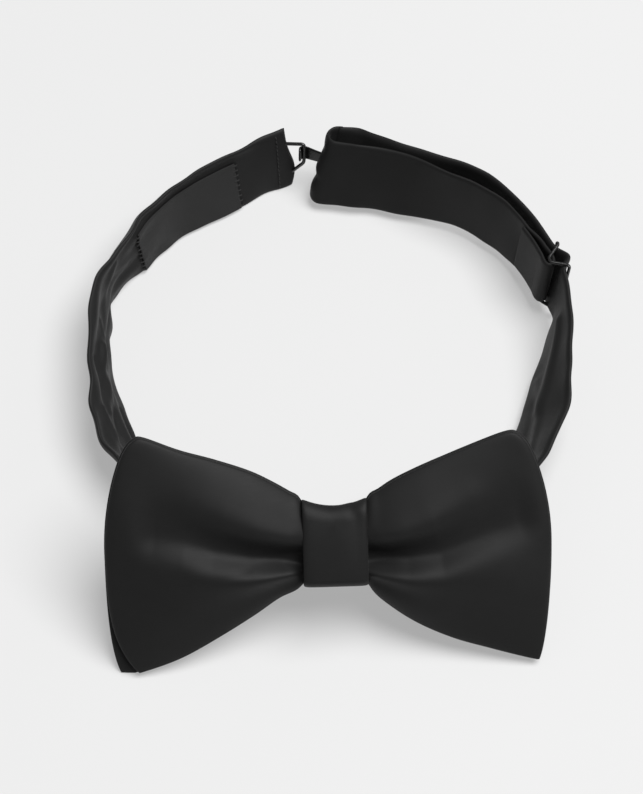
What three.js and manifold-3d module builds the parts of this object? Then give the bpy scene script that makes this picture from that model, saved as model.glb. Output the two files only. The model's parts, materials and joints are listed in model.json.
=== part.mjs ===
// A pre-tied satin bow tie on an adjustable neck band, closed by a hook and a wire eye.
// Millimetres, +Z up. The tie stands on the lower edges of its band and bow, the bow at -Y and the
// closure at +Y, and the origin is under the middle of its bounding box.

import * as THREE from "three";
import { mergeVertices } from "three/addons/utils/BufferGeometryUtils.js";
import Module from "manifold-3d";

const wasm = await Module();
wasm.setup();

// Driving dimensions

const ORIGIN = new THREE.Vector3(2.5, -4.2, 0); // middle of the footprint, in loop coordinates
const GAP = 0.3; // clearance between pieces that touch

const BAND = { width: 19.5, thick: 1.6, wall: 0.35, stiffener: 0.3 };
const LEFT_AXIS = { x: 0.5, y: 11 }; // centre of the left half of the neck loop
const RIGHT_AXIS = { x: 0.5, y: 9.5 }; // centre of the right half, where the slider travels
const STEP_ANGLE = 5; // degrees between two sections of a band

const RIGHT = { lift: 2.8, foldAngle: -2.6, arcEnd: -78 };
const FOLD_ZONE = { radius: 62.5, lean: 22, from: -22 }; // the right half near the hook
const SLIDE_ZONE = { radius: 65.4, lean: 6, from: -38 }; // the right half where the slider travels
const FOLD_RADIUS = 2.7; // mid-line of the strap where it turns round the hook's bar
const HOOK_SWING = 30; // degrees outwards
const HOOK_ROOM = 44; // degrees that the hook's neck itself takes in its notch

const KNOT = { x: 3.4, y: -61.7, z: 25.1, lean: 42, yaw: 2 };
const KNOT_SIZE = { length: 16.6, halfHeight: 11.2, front: 7.3, rear: -8.7, wall: 0.8, lining: 0.5 };
const KNOT_ROUND = { front: 5.5, rear: 2, least: 0.4 }; // corner radii of the knot's outline
const BOW = { left: 57.8, right: 54.9, top: 30, bottom: 32, pinch: 8.4 };
const NECK = { share: 0.165, rise: 0.7, flare: 0.6 }; // the drawn-in middle, as a share of half the bow
const VALLEY = { depth: 0.55, at: -0.1, width: 0.28 }; // across the bow, from the knot outwards
const PINCH = { turns: 3, halfHeight: 9.2, halfDepth: 4.35, middle: 0.2, thread: 0.3 };
const CENTRE = { length: 19.6, height: 18.6, depth: -5.8 }; // the strap's stretch behind the bow
const CORNER_INSET = { upper: 0.155, leftLower: 0.1, rightLower: 0.07 }; // shares of the half length

const HOOK = { plate: 0.6, width: 4.6, barRadius: 0.8, barLength: 11, height: 13, curlRadius: 0.95 };
const EYE = { wire: 0.5, apex: 7, base: 11, height: 11.5, foot: 4, bend: 0.9 };
const SLIDER = { angle: -71, length: 12, rail: 1.1, edgeGap: 0.85, barRadius: 0.6, drop: 3.15 };
const SLIDER_RAIL = { rise: 1.3, deep: 1, bend: 3.6, foot: 0.8, endBar: 1.5 };
const TAIL = { thick: 1.2, loopRadius: 1.5, gather: 0.1 }; // the strap's end, looped round the slider
const TAIL_END = { turn: 13, offset: -4.7, seam: 1.6, seamFrom: 0.15, seamTo: 0.95 };
const LABEL = { from: 23.5, to: 57, low: 0.5, width: 15, thick: 0.4, seam: 1.2 };
const THREAD = 0.2; // radius of a sewing thread

// Materials

const finish = (color, roughness, metalness = 0) =>
  new THREE.MeshStandardMaterial({ color, roughness, metalness });
const SATIN = finish(0x1c1c1d, 0.5);
const INTERLINING = finish(0xd8d4ca, 0.95);
const THREAD_BLACK = finish(0x0e0e0f, 0.7);
const WOVEN_LABEL = finish(0x232324, 0.8);
const BLACK_METAL = finish(0x17171a, 0.35, 0.9);

// Solids

const radians = THREE.MathUtils.degToRad;
const tie = new THREE.Group();
tie.position.copy(ORIGIN).negate();

function addMesh(parent, name, geometry, material) {
  const mesh = new THREE.Mesh(geometry, material);
  mesh.name = name;
  parent.add(mesh);
  return mesh;
}

function toSolid(geometry) {
  const bare = geometry.clone();
  bare.deleteAttribute("normal");
  bare.deleteAttribute("uv");
  const merged = mergeVertices(bare, 1e-4);
  return new wasm.Manifold(
    new wasm.Mesh({
      numProp: 3,
      vertProperties: merged.attributes.position.array,
      triVerts: new Uint32Array(merged.index.array),
    }),
  );
}

function toGeometry(solid) {
  const mesh = solid.getMesh();
  const geometry = new THREE.BufferGeometry();
  geometry.setAttribute("position", new THREE.BufferAttribute(mesh.vertProperties, 3));
  geometry.setIndex(new THREE.BufferAttribute(mesh.triVerts, 1));
  return geometry;
}

const join = (...shapes) => toGeometry(shapes.map(toSolid).reduce((a, b) => a.add(b)));
const cut = (shape, ...tools) =>
  toGeometry(tools.map(toSolid).reduce((a, b) => a.subtract(b), toSolid(shape)));

// A closed slab between two equal grids of points, with walls along all four borders.
function slab(face, back) {
  const rows = face.length;
  const columns = face[0].length;
  const last = columns - 1;
  const points = [...face.flat(), ...back.flat()];
  const at = (side, i, j) => side * rows * columns + i * columns + j;
  const index = [];
  const quad = (a, b, c, d) => index.push(a, b, c, a, c, d);
  for (let i = 0; i + 1 < rows; i++)
    for (let j = 0; j + 1 < columns; j++) {
      quad(at(0, i, j), at(0, i + 1, j), at(0, i + 1, j + 1), at(0, i, j + 1));
      quad(at(1, i, j), at(1, i, j + 1), at(1, i + 1, j + 1), at(1, i + 1, j));
    }
  for (let i = 0; i + 1 < rows; i++) {
    quad(at(0, i, 0), at(1, i, 0), at(1, i + 1, 0), at(0, i + 1, 0));
    quad(at(0, i + 1, last), at(1, i + 1, last), at(1, i, last), at(0, i, last));
  }
  for (let j = 0; j + 1 < columns; j++) {
    quad(at(0, 0, j + 1), at(1, 0, j + 1), at(1, 0, j), at(0, 0, j));
    quad(at(0, rows - 1, j), at(1, rows - 1, j), at(1, rows - 1, j + 1), at(0, rows - 1, j + 1));
  }
  const geometry = new THREE.BufferGeometry().setFromPoints(points);
  geometry.setIndex(index);
  return geometry;
}

function box(width, depth, height, x, y, z) {
  return new THREE.BoxGeometry(width, depth, height).translate(x, y, z);
}

function rod(points, radius, sides = 6) {
  const section = new THREE.Shape();
  section.absarc(0, 0, radius, 0, 2 * Math.PI);
  return new THREE.ExtrudeGeometry(section, {
    curveSegments: sides / 2,
    steps: points.length - 1,
    bevelEnabled: false,
    extrudePath: polyline(points),
  });
}

function polyline(points) {
  const path = new THREE.CurvePath();
  for (let i = 0; i + 1 < points.length; i++) path.add(new THREE.LineCurve3(points[i], points[i + 1]));
  // Equal steps in parameter fall on the points themselves.
  path.getPointAt = (t) => {
    const place = Math.min(t * (points.length - 1), points.length - 1 - 1e-9);
    const span = Math.floor(place);
    return points[span].clone().lerp(points[span + 1], place - span);
  };
  path.getTangentAt = (t) => {
    const half = 0.5 / (points.length - 1);
    const ahead = path.getPointAt(Math.min(t + half, 1));
    return ahead.sub(path.getPointAt(Math.max(t - half, 0))).normalize();
  };
  return path;
}

// Bands. A section has a lower and an upper edge point; angles run from +Y, positive towards -X.

function outward(angle) {
  return new THREE.Vector3(-Math.sin(radians(angle)), Math.cos(radians(angle)), 0);
}

// The section of a band at an angle round an axis: its mid radius, outward lean and lower edge height.
function section(axis, angle, radius, lean, lowerZ = 0) {
  const out = outward(angle);
  const rise = BAND.width * Math.cos(radians(lean));
  const reach = BAND.width * Math.sin(radians(lean));
  const place = (r, z) => new THREE.Vector3(axis.x, axis.y, z).addScaledVector(out, r);
  return { lower: place(radius - reach / 2, lowerZ), upper: place(radius + reach / 2, lowerZ + rise) };
}

// Smooth sections through hand-placed ones.
function blendSections(stations, count) {
  const lower = new THREE.CatmullRomCurve3(stations.map((s) => s.lower));
  const upper = new THREE.CatmullRomCurve3(stations.map((s) => s.upper));
  const at = (t) => ({ lower: lower.getPoint(t), upper: upper.getPoint(t) });
  const sections = steps(0, 1, count).map(at);
  for (const { lower: point } of sections) point.z = Math.max(point.z, 0);
  return sections;
}

// A ribbon along sections: from/to are offsets from its mid-surface and inset narrows it at both edges.
// Its thickness grows by swell(index) on each side.
function ribbon(sections, from, to, inset = 0, swell = () => 0) {
  const middle = sections.map((s) => s.lower.clone().lerp(s.upper, 0.5));
  const sides = sections.map((s, i) => {
    const ahead = middle[Math.min(i + 1, middle.length - 1)];
    const along = ahead.clone().sub(middle[Math.max(i - 1, 0)]);
    return new THREE.Vector3(along.y, -along.x, 0).normalize();
  });
  const side = (offset, sign) =>
    sections.map(({ lower, upper }, i) => {
      const share = inset / lower.distanceTo(upper);
      const move = sides[i].clone().multiplyScalar(offset + sign * swell(i));
      return [share, 1 - share].map((t) => lower.clone().lerp(upper, t).add(move));
    });
  return slab(side(to, 1), side(from, -1));
}

const half = BAND.thick / 2;
const band = (sections, swell) => ribbon(sections, -half, half, 0, swell);
const hollow = (sections, swell) =>
  ribbon(sections, BAND.wall - half, half - BAND.wall, 2 * BAND.wall, swell);
const stiffener = (sections) =>
  ribbon(sections, -BAND.stiffener / 2, BAND.stiffener / 2, 2 * BAND.wall + GAP);

// Moves the first or last section along the band, so that a cavity breaks out through that end.
function extended(sections, first, last) {
  const list = sections.map((s) => ({ lower: s.lower.clone(), upper: s.upper.clone() }));
  const shift = (end, next, by) => {
    const way = end.lower.clone().sub(next.lower).normalize().multiplyScalar(by);
    end.lower.add(way);
    end.upper.add(way);
  };
  shift(list[0], list[1], first);
  shift(list.at(-1), list.at(-2), last);
  return list;
}

function steps(from, to, count) {
  return Array.from({ length: count + 1 }, (_, i) => from + ((to - from) * i) / count);
}

// A zigzag of thread over a surface given by point(along, across), with across going from -1 to 1.
function zigzag(point, stitches) {
  return rod(
    steps(0, 1, stitches).map((t, i) => point(t, i % 2 ? 1 : -1)),
    THREAD,
  );
}

// Left half of the neck band

const LEFT_END = { from: 9, to: 69 }; // degrees of the stretch that carries the label and the eye

const leftEndStations = [
  [LEFT_END.from, 64, 15],
  [20, 61.2, 15.5],
  [31, 60, 16],
  [43, 60.4, 12.5],
  [56, 60.2, 9],
  [LEFT_END.to, 61.4, 1],
].map(([angle, radius, lean]) => section(LEFT_AXIS, angle, radius, lean));

const leftSideStations = [
  [71.2, 61.5, 1],
  [81, 60.3, 9.5],
  [92, 59.6, 14.5],
  [103, 60.1, 21.5],
  [113, 60.8, 29],
  [122, 61.4, 32],
  [131, 62.3, 29],
  [141, 62.4, 8, 2],
  [151, 62.9, -18, 7],
  [161, 65.2, -35, 11.5],
  [171.7, 68.6, -42, 14.6],
].map(([angle, radius, lean, lowerZ]) => section(LEFT_AXIS, angle, radius, lean, lowerZ));

// The closure end is turned in and so twice as thick, with the feet of the eye inside it.
const TURN_IN = 0.5; // how much thicker it is on each side
const turnedEnd = (index) => (index < 2 ? TURN_IN : 0);

function addLeftEndBand() {
  const sections = blendSections(leftEndStations, 14);
  const cavity = hollow(extended(sections, 1, 1), turnedEnd);
  addMesh(tie, "left_end_band", cut(band(sections, turnedEnd), cavity), SATIN);
  addMesh(tie, "left_end_interlining", stiffener(sections.slice(2, -1)), INTERLINING);
}

function addLeftSideBand() {
  const sections = blendSections(leftSideStations, 26);
  addMesh(tie, "left_side_band", cut(band(sections), hollow(extended(sections, 1, 1))), SATIN);
  addMesh(tie, "left_side_interlining", stiffener(sections.slice(1, -1)), INTERLINING);
}

// A place on the inner face of the left end band: depth is measured inwards from its mid-surface.
function leftEndPoint(angle, height, depth) {
  const count = LEFT_END.to - LEFT_END.from;
  const sections = blendSections(leftEndStations, count);
  const { lower, upper } = sections[THREE.MathUtils.clamp(Math.round(angle - LEFT_END.from), 0, count)];
  const inwards = new THREE.Vector3(LEFT_AXIS.x - lower.x, LEFT_AXIS.y - lower.y, 0).normalize();
  return lower.clone().lerp(upper, height / BAND.width).addScaledVector(inwards, depth);
}

function addLabel() {
  const near = half + GAP;
  const angles = steps(LABEL.from, LABEL.to, 8);
  const heights = [LABEL.low, LABEL.low + LABEL.width];
  const face = (depth) => angles.map((a) => heights.map((h) => leftEndPoint(a, h, depth)));
  addMesh(tie, "label", slab(face(near), face(near + LABEL.thick)), WOVEN_LABEL);
  const over = near + LABEL.thick + GAP + THREAD;
  for (const [name, angle] of [
    ["label_stitches_closure_end", LABEL.from + LABEL.seam],
    ["label_stitches_bow_end", LABEL.to - LABEL.seam],
  ]) {
    const height = (t) => 2 * LABEL.low + t * (LABEL.width - 2 * LABEL.low);
    const point = (t, across) => leftEndPoint(angle + across, height(t), over);
    addMesh(tie, name, zigzag(point, 14), THREAD_BLACK);
  }
}

// Right half of the neck band, which runs to the hook, folds round its bar and comes back

// The lean changes between the slider's zone and the fold's, and is even within each.
function rightSection(angle, offset = 0) {
  const share = THREE.MathUtils.smoothstep(angle, SLIDE_ZONE.from, FOLD_ZONE.from);
  const between = (key) => THREE.MathUtils.lerp(SLIDE_ZONE[key], FOLD_ZONE[key], share);
  return section(RIGHT_AXIS, angle, between("radius") + offset, between("lean"), RIGHT.lift);
}

const rightFrontStations = [
  [-167.3, 67.5, -42, 14.9],
  [-157, 64.4, -34, 11],
  [-148, 62.8, -14, 6],
  [-139, 62.4, 12, 3],
  [-129, 64.2, 35, 2.4],
  [-119, 62.4, 37, 2.4],
  [-110, 61.7, 36, 2.5],
  [-101, 61.3, 31, 2.6],
  [-93.5, 61.9, 25, 2.7],
  [-86, 63.2, 16, 2.8],
].map(([angle, radius, lean, lowerZ]) => section(RIGHT_AXIS, angle, radius, lean, lowerZ));

// Sections round a half circle about a line that stands inside a fold of the right band. The fold's
// nose points to the hook where way is 1 and to the bow where it is -1.
function foldSections(angle, offset, radius, way = 1) {
  const count = 8;
  const out = outward(angle);
  const along = new THREE.Vector3(-out.y, out.x, 0);
  const { lower, upper } = rightSection(angle, offset);
  return steps(0, 180, count).map((turn) => {
    const move = out.clone().multiplyScalar(radius * Math.cos(radians(turn)));
    move.addScaledVector(along, way * radius * Math.sin(radians(turn)));
    return { lower: lower.clone().add(move), upper: upper.clone().add(move) };
  });
}

function rightBandSections() {
  const arcSteps = Math.round((RIGHT.foldAngle - RIGHT.arcEnd) / STEP_ANGLE);
  const arc = steps(RIGHT.arcEnd, RIGHT.foldAngle, arcSteps).map((angle) => rightSection(angle));
  const front = blendSections([...rightFrontStations, arc[0]], 20).slice(0, -1);
  const fold = foldSections(RIGHT.foldAngle, -FOLD_RADIUS, FOLD_RADIUS);
  const back = rightSection(RIGHT.foldAngle - 2, -2 * FOLD_RADIUS);
  return { running: [...front, ...arc], turned: [...fold.slice(1), back] };
}

// A local frame on the right band: x towards the hook, y up the strap and z out of its face.
function rightFrame(angle, offset) {
  const { lower, upper } = rightSection(angle, offset);
  const group = new THREE.Group();
  const up = upper.clone().sub(lower).normalize();
  const out = outward(angle);
  const along = new THREE.Vector3(-out.y, out.x, 0);
  group.position.copy(lower.clone().lerp(upper, 0.5));
  group.quaternion.setFromRotationMatrix(
    new THREE.Matrix4().makeBasis(along, up, new THREE.Vector3().crossVectors(along, up)),
  );
  group.updateMatrix();
  return group;
}

// The hook's neck passes out of the fold through a notch, wide enough for the hook to swing outwards.
function foldNotch() {
  const frame = rightFrame(RIGHT.foldAngle, -FOLD_RADIUS);
  const reach = 2 * FOLD_RADIUS + GAP;
  const inside = FOLD_RADIUS - BAND.thick;
  const openTo = radians(HOOK_SWING + HOOK_ROOM);
  const shape = new THREE.Shape();
  shape.moveTo(inside, -GAP / 2);
  shape.lineTo(reach, 0);
  shape.absarc(0, 0, reach, 0, openTo, false);
  shape.lineTo(inside * Math.cos(openTo), inside * Math.sin(openTo));
  shape.closePath();
  const height = HOOK.width + 2 * GAP;
  const extent = { depth: height, bevelEnabled: false, curveSegments: 6 };
  const wedge = new THREE.ExtrudeGeometry(shape, extent);
  // The shape's plane becomes the local x-z plane, and its thickness runs along the strap's width.
  wedge.rotateX(Math.PI / 2).translate(0, HOOK.height - BAND.width / 2 + height / 2, 0);
  return wedge.applyMatrix4(frame.matrix);
}

function addRightBand() {
  const { running, turned } = rightBandSections();
  const whole = [...running, ...turned];
  const cavity = extended(running, 1, -4);
  addMesh(tie, "right_band", cut(band(whole), hollow(cavity), foldNotch()), SATIN);
  addMesh(tie, "right_interlining", stiffener(running.slice(1, -1)), INTERLINING);
}

function addReturnBand() {
  const stations = [
    [-5.1, -5.4],
    [-15, -5.8],
    [-28, -5.6],
    [-40, -5.2],
    [-49, -4.2],
    [-55.5, -3.2],
  ].map(([angle, offset]) => rightSection(angle, offset));
  addMesh(tie, "return_band", band(blendSections(stations, 10)), SATIN);
}

// The strap's end is looped round the slider's middle bar and sewn down on itself.
function addTailLoop() {
  const barOffset = -SLIDER.drop / Math.cos(radians(SLIDE_ZONE.lean));
  const loop = foldSections(SLIDER.angle, barOffset, TAIL.loopRadius, -1);
  // Each run is a list of degrees from the slider and offsets from the running band.
  const run = (list) => list.map(([turn, offset]) => rightSection(SLIDER.angle + turn, offset));
  const outerRun = run([
    [14.8, -3.1],
    [10, -2.9],
    [6, -2.4],
    [3, -1.95],
  ]);
  const innerRun = run([
    [3, -4.85],
    [6, -4.6],
    [10, -4.55],
    [TAIL_END.turn, TAIL_END.offset],
  ]);
  const path = [...outerRun, ...loop, ...innerRun];
  // The looped end is gathered at its lower edge to pass over the slider's lower rail.
  const gather = ({ lower, upper }) => ({ lower: lower.clone().lerp(upper, TAIL.gather), upper });
  const gathered = path.map(gather);
  addMesh(tie, "tail_loop", ribbon(gathered, -TAIL.thick / 2, TAIL.thick / 2), SATIN);
  const point = (t, across) => {
    const face = TAIL_END.offset - TAIL.thick / 2 - GAP - THREAD;
    const turn = TAIL_END.turn - TAIL_END.seam + 0.6 * across;
    const { lower, upper } = rightSection(SLIDER.angle + turn, face);
    return lower.lerp(upper, THREE.MathUtils.lerp(TAIL_END.seamFrom, TAIL_END.seamTo, t));
  };
  addMesh(tie, "tail_stitches", zigzag(point, 16), THREAD_BLACK);
}

// The outline of a rail seen from its side: flat over the strap at both ends and dropped in the middle.
function railOutline() {
  const { rise, deep, bend, foot } = SLIDER_RAIL;
  const end = SLIDER.length / 2;
  const low = -SLIDER.drop - SLIDER.barRadius;
  const right = [
    [foot, low + 1.9],
    [bend, rise + deep],
    [end, rise + deep],
    [end, rise],
    [bend + 0.6, rise - 0.2],
    [foot + 0.5, low],
  ];
  const left = right.map(([x, z]) => [-x, z]).reverse();
  return new THREE.Shape([...right, ...left].map(([x, z]) => new THREE.Vector2(x, z)));
}

// Three-bar slider: two end bars over the running strap and a dropped middle bar behind it.
function addSlider() {
  const frame = rightFrame(SLIDER.angle, 0);
  const { rail, barRadius } = SLIDER;
  const { rise, deep, endBar } = SLIDER_RAIL;
  const reach = BAND.width / 2 + SLIDER.edgeGap;
  const whole = 2 * (reach + rail);
  const end = (SLIDER.length - endBar) / 2;
  const sideRail = (side) => {
    const plate = new THREE.ExtrudeGeometry(railOutline(), { depth: rail, bevelEnabled: false });
    return plate.rotateX(Math.PI / 2).translate(0, side * (reach + rail / 2) + rail / 2, 0);
  };
  const middle = new THREE.CylinderGeometry(barRadius, barRadius, whole, 10);
  middle.translate(0, 0, -SLIDER.drop);
  const bar = (x) => box(endBar, whole, deep, x, 0, rise + deep / 2);
  const parts = [sideRail(1), sideRail(-1), middle, bar(end), bar(-end)];
  addMesh(frame, "slider_frame", join(...parts), BLACK_METAL);
  tie.add(frame);
}

// Hook: a bar held in the strap's fold, a flat neck and a curl that takes the eye.
const hookTip = { x: 8.2, z: 2.6 }; // centre of the curl, from the bar's axis

function addHook() {
  const frame = rightFrame(RIGHT.foldAngle, -FOLD_RADIUS);
  const { curlRadius: inner, plate } = HOOK;
  const outer = inner + plate;
  const lip = radians(36);
  const profile = new THREE.Shape();
  profile.moveTo(-plate / 2, plate / 2);
  profile.lineTo(0.2, -plate / 2);
  profile.lineTo(hookTip.x, hookTip.z + inner);
  profile.absarc(hookTip.x, hookTip.z, inner, Math.PI / 2, -lip, true);
  profile.absarc(hookTip.x, hookTip.z, outer, -lip, Math.PI / 2, false);
  profile.closePath();
  const extent = { depth: HOOK.width, bevelEnabled: false, curveSegments: 8 };
  const neck = new THREE.ExtrudeGeometry(profile, extent);
  neck.rotateX(Math.PI / 2).translate(0, HOOK.width / 2, 0);
  const bar = new THREE.CylinderGeometry(HOOK.barRadius, HOOK.barRadius, HOOK.barLength, 10);
  const mesh = addMesh(frame, "hook", join(neck, bar), BLACK_METAL);
  mesh.position.y = HOOK.height - BAND.width / 2;
  tie.add(frame);
}

// Wire eye: its feet lie inside the end of the left band, and its short side stands in the hook's curl.
function addEye() {
  const frame = rightFrame(RIGHT.foldAngle, -FOLD_RADIUS);
  const middle = HOOK.height - BAND.width / 2;
  const apex = (side) => {
    const height = middle + (side * EYE.apex) / 2;
    return new THREE.Vector3(hookTip.x, height, hookTip.z).applyMatrix4(frame.matrix);
  };
  const sections = blendSections(leftEndStations, LEFT_END.to - LEFT_END.from);
  const foot = (side, index) => {
    const { lower, upper } = sections[index];
    return lower.clone().lerp(upper, (EYE.height + (side * EYE.base) / 2) / BAND.width);
  };
  const leg = (side) => [foot(side, EYE.foot), foot(side, 0), apex(side)];
  const [topLeg, bottomLeg] = [leg(1), leg(-1)];
  const points = roundedPath([...topLeg, ...bottomLeg.reverse()], EYE.bend);
  addMesh(tie, "eye", rod(points, EYE.wire, 8), BLACK_METAL);
}

// The same path with each corner replaced by a short bend of three points.
function roundedPath(points, reach) {
  const path = [points[0]];
  for (let i = 1; i + 1 < points.length; i++) {
    const towards = (other) => {
      const way = other.clone().sub(points[i]);
      return points[i].clone().addScaledVector(way.normalize(), reach);
    };
    const [start, end] = [towards(points[i - 1]), towards(points[i + 1])];
    path.push(...new THREE.QuadraticBezierCurve3(start, points[i], end).getPoints(3));
  }
  path.push(points.at(-1));
  return path;
}

function addEyeStitches() {
  const out = -(half + TURN_IN + GAP + THREAD);
  const margin = 2;
  const point = (t, across) => {
    const height = margin + t * (BAND.width - 2 * margin);
    return leftEndPoint(LEFT_END.from + margin + across, height, out);
  };
  addMesh(tie, "eye_stitches", zigzag(point, 16), THREAD_BLACK);
}

// Bow. Local x runs across it, y up its face and z out of its front.

const bow = new THREE.Group();
bow.position.set(KNOT.x, KNOT.y, KNOT.z);
bow.rotation.set(radians(90 - KNOT.lean), 0, radians(KNOT.yaw), "ZYX");
tie.add(bow);

// Half height of the pinched bow at a share s of its half length, up to a corner height.
function halfHeight(s, corner) {
  if (s <= NECK.share) return BOW.pinch + NECK.rise * (s / NECK.share) ** 2;
  const share = (s - NECK.share) / (1 - NECK.share);
  const start = BOW.pinch + NECK.rise;
  return start + (corner - start) * share ** NECK.flare;
}

// A point of the bow's outline grid: s from -1 to 1 along it and q from -1 to 1 up it.
function bowPoint(s, q, layer) {
  const reach = (s < 0 ? BOW.left : BOW.right) + layer.spread;
  const lowerInset = s < 0 ? CORNER_INSET.leftLower * layer.tuck : CORNER_INSET.rightLower;
  const inset = q > 0 ? CORNER_INSET.upper : lowerInset;
  const share = Math.abs(s);
  const x = s * reach * (1 - inset * share * Math.abs(q) ** 2.2);
  return { x, y: q * halfHeight(share, q > 0 ? BOW.top : BOW.bottom) };
}

// Thickness of one layer: a folded edge, a filled middle and a valley that runs out from the knot.
function layerThickness(s, q, layer) {
  const share = Math.abs(s);
  const fullness = (1 - q ** 4) * (1 - share ** 6);
  const across = Math.exp(-(((q - VALLEY.at) / VALLEY.width) ** 2));
  const valley = VALLEY.depth * across * (1 - share) ** 1.5;
  const opened = THREE.MathUtils.clamp((share - NECK.share) * 4, 0, 1);
  const pinched = 0.55 + 0.45 * Math.sin((Math.PI / 2) * opened);
  return BAND.thick + layer.puff * fullness * pinched * (1 - (share < NECK.share ? 0 : valley));
}

// A slab of the bow between two depths; near and far are insets from the flat and the full face.
function bowSlab(layer, margin, near, far) {
  const alongSteps = [-1, -0.9, -0.76, -0.6, -0.46, -0.34, -0.26, -0.2, -NECK.share, -0.09];
  const along = [...alongSteps, 0, ...alongSteps.map((s) => -s).reverse()];
  const up = [-1, -0.9, -0.7, -0.45, -0.2, 0, 0.25, 0.5, 0.72, 0.9, 1];
  const grid = (depth) =>
    along.map((a) =>
      up.map((b) => {
        const s = a * (1 - margin);
        const q = b * (1 - 1.6 * margin);
        const { x, y } = bowPoint(s, q, layer);
        return new THREE.Vector3(x, y, layer.side * depth(s, q));
      }),
    );
  const flat = grid(() => layer.gap + near);
  const full = grid((s, q) => layer.gap + far(layerThickness(s, q, layer)));
  return layer.side > 0 ? slab(full, flat) : slab(flat, full);
}

function addBowLayer(name, layer) {
  const outer = bowSlab(layer, 0, 0, (t) => t);
  const inner = bowSlab(layer, 0.012, BAND.wall, (t) => t - BAND.wall);
  // The seam is left open behind the knot, where the cover is turned right side out.
  const turningSlot = box(8, 3, 1.2, 0, 0, layer.side * layer.gap);
  addMesh(bow, name + "_cover", cut(outer, inner, turningSlot), SATIN);
  const liningFrom = BAND.wall + GAP;
  const lining = bowSlab(layer, 0.03, liningFrom, () => liningFrom + BAND.stiffener);
  addMesh(bow, name + "_interlining", lining, INTERLINING);
}

// Spread is how far a layer's ends reach past the front one's, and tuck its share of the corner inset.
const frontLayer = { side: 1, gap: 0.25, puff: 3.6, spread: 0, tuck: 1 };
const rearLayer = { side: -1, gap: 0.25, puff: 3, spread: 0.9, tuck: 0.5 };

// A closed strip round the middle of the bow, offset inwards from the knot's outline.
function knotRing(offset, wall) {
  const outline = (inset) => {
    const top = KNOT_SIZE.halfHeight - inset;
    const front = KNOT_SIZE.front - inset;
    const rear = KNOT_SIZE.rear + inset;
    const frontRound = KNOT_ROUND.front - inset;
    const rearRound = Math.max(KNOT_ROUND.rear - inset, KNOT_ROUND.least);
    const shape = new THREE.Shape();
    shape.moveTo(-top, 0);
    shape.lineTo(-top, rear + rearRound);
    shape.absarc(rearRound - top, rear + rearRound, rearRound, Math.PI, 1.5 * Math.PI);
    shape.lineTo(top - rearRound, rear);
    shape.absarc(top - rearRound, rear + rearRound, rearRound, 1.5 * Math.PI, 2 * Math.PI);
    shape.lineTo(top, front - frontRound);
    shape.absarc(top - frontRound, front - frontRound, frontRound, 0, 0.5 * Math.PI);
    shape.lineTo(frontRound - top, front);
    shape.absarc(frontRound - top, front - frontRound, frontRound, 0.5 * Math.PI, Math.PI);
    shape.closePath();
    return shape;
  };
  const ring = outline(offset);
  ring.holes.push(outline(offset + wall));
  const geometry = new THREE.ExtrudeGeometry(ring, {
    depth: KNOT_SIZE.length,
    bevelEnabled: false,
    curveSegments: 6,
  });
  // The outline's first axis becomes the bow's height and its second the bow's depth.
  return geometry.applyMatrix4(
    new THREE.Matrix4().makeBasis(
      new THREE.Vector3(0, 1, 0),
      new THREE.Vector3(0, 0, 1),
      new THREE.Vector3(1, 0, 0),
    ),
  ).translate(-KNOT_SIZE.length / 2, 0, 0);
}

function addKnot() {
  addMesh(bow, "knot_wrap", knotRing(0, KNOT_SIZE.wall), SATIN);
  addMesh(bow, "knot_interlining", knotRing(KNOT_SIZE.wall + GAP, KNOT_SIZE.lining), INTERLINING);
  // The wrap's ends meet underneath, so the seam leaves its flat back clear.
  const under = -KNOT_SIZE.halfHeight - GAP - THREAD;
  const seamAt = KNOT_SIZE.rear / 2;
  const seamLength = KNOT_SIZE.length - 3;
  const seam = (t, across) => new THREE.Vector3((t - 0.5) * seamLength, under, seamAt + across);
  addMesh(bow, "knot_seam_thread", zigzag(seam, 18), THREAD_BLACK);
}

// Three turns of thread draw the middle of the bow together under the knot.
function addPinchThread() {
  const perTurn = 20;
  const pitch = 3 * PINCH.thread;
  const points = steps(0, PINCH.turns * 360, PINCH.turns * perTurn).map((turn) => {
    const c = Math.cos(radians(turn));
    const s = Math.sin(radians(turn));
    const square = (c ** 4 + s ** 4) ** -0.25; // a rounded rectangle rather than an ellipse
    const x = (turn / 360 - PINCH.turns / 2) * pitch;
    const z = PINCH.middle + PINCH.halfDepth * s * square;
    return new THREE.Vector3(x, PINCH.halfHeight * c * square, z);
  });
  addMesh(bow, "pinch_thread", rod(points, PINCH.thread), THREAD_BLACK);
}

function addBandCentre() {
  const { length, height, depth } = CENTRE;
  addMesh(bow, "band_centre", box(length, height, BAND.thick, 0, 0, depth), SATIN);
}

addBowLayer("front_bow", frontLayer);
addBowLayer("rear_bow", rearLayer);
addKnot();
addPinchThread();
addBandCentre();
addLeftEndBand();
addLeftSideBand();
addLabel();
addRightBand();
addReturnBand();
addTailLoop();
addSlider();
addHook();
addEye();
addEyeStitches();

export default tie;
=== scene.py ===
"""The looks of a pre-tied black satin bow tie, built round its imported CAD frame.

Lengths are millimetres until a mesh is made, in the frame's axes: the bow at -Y, the closure at +Y.
"""

import json
import math

import bpy
import numpy as np
from mathutils import Matrix, Vector


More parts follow.
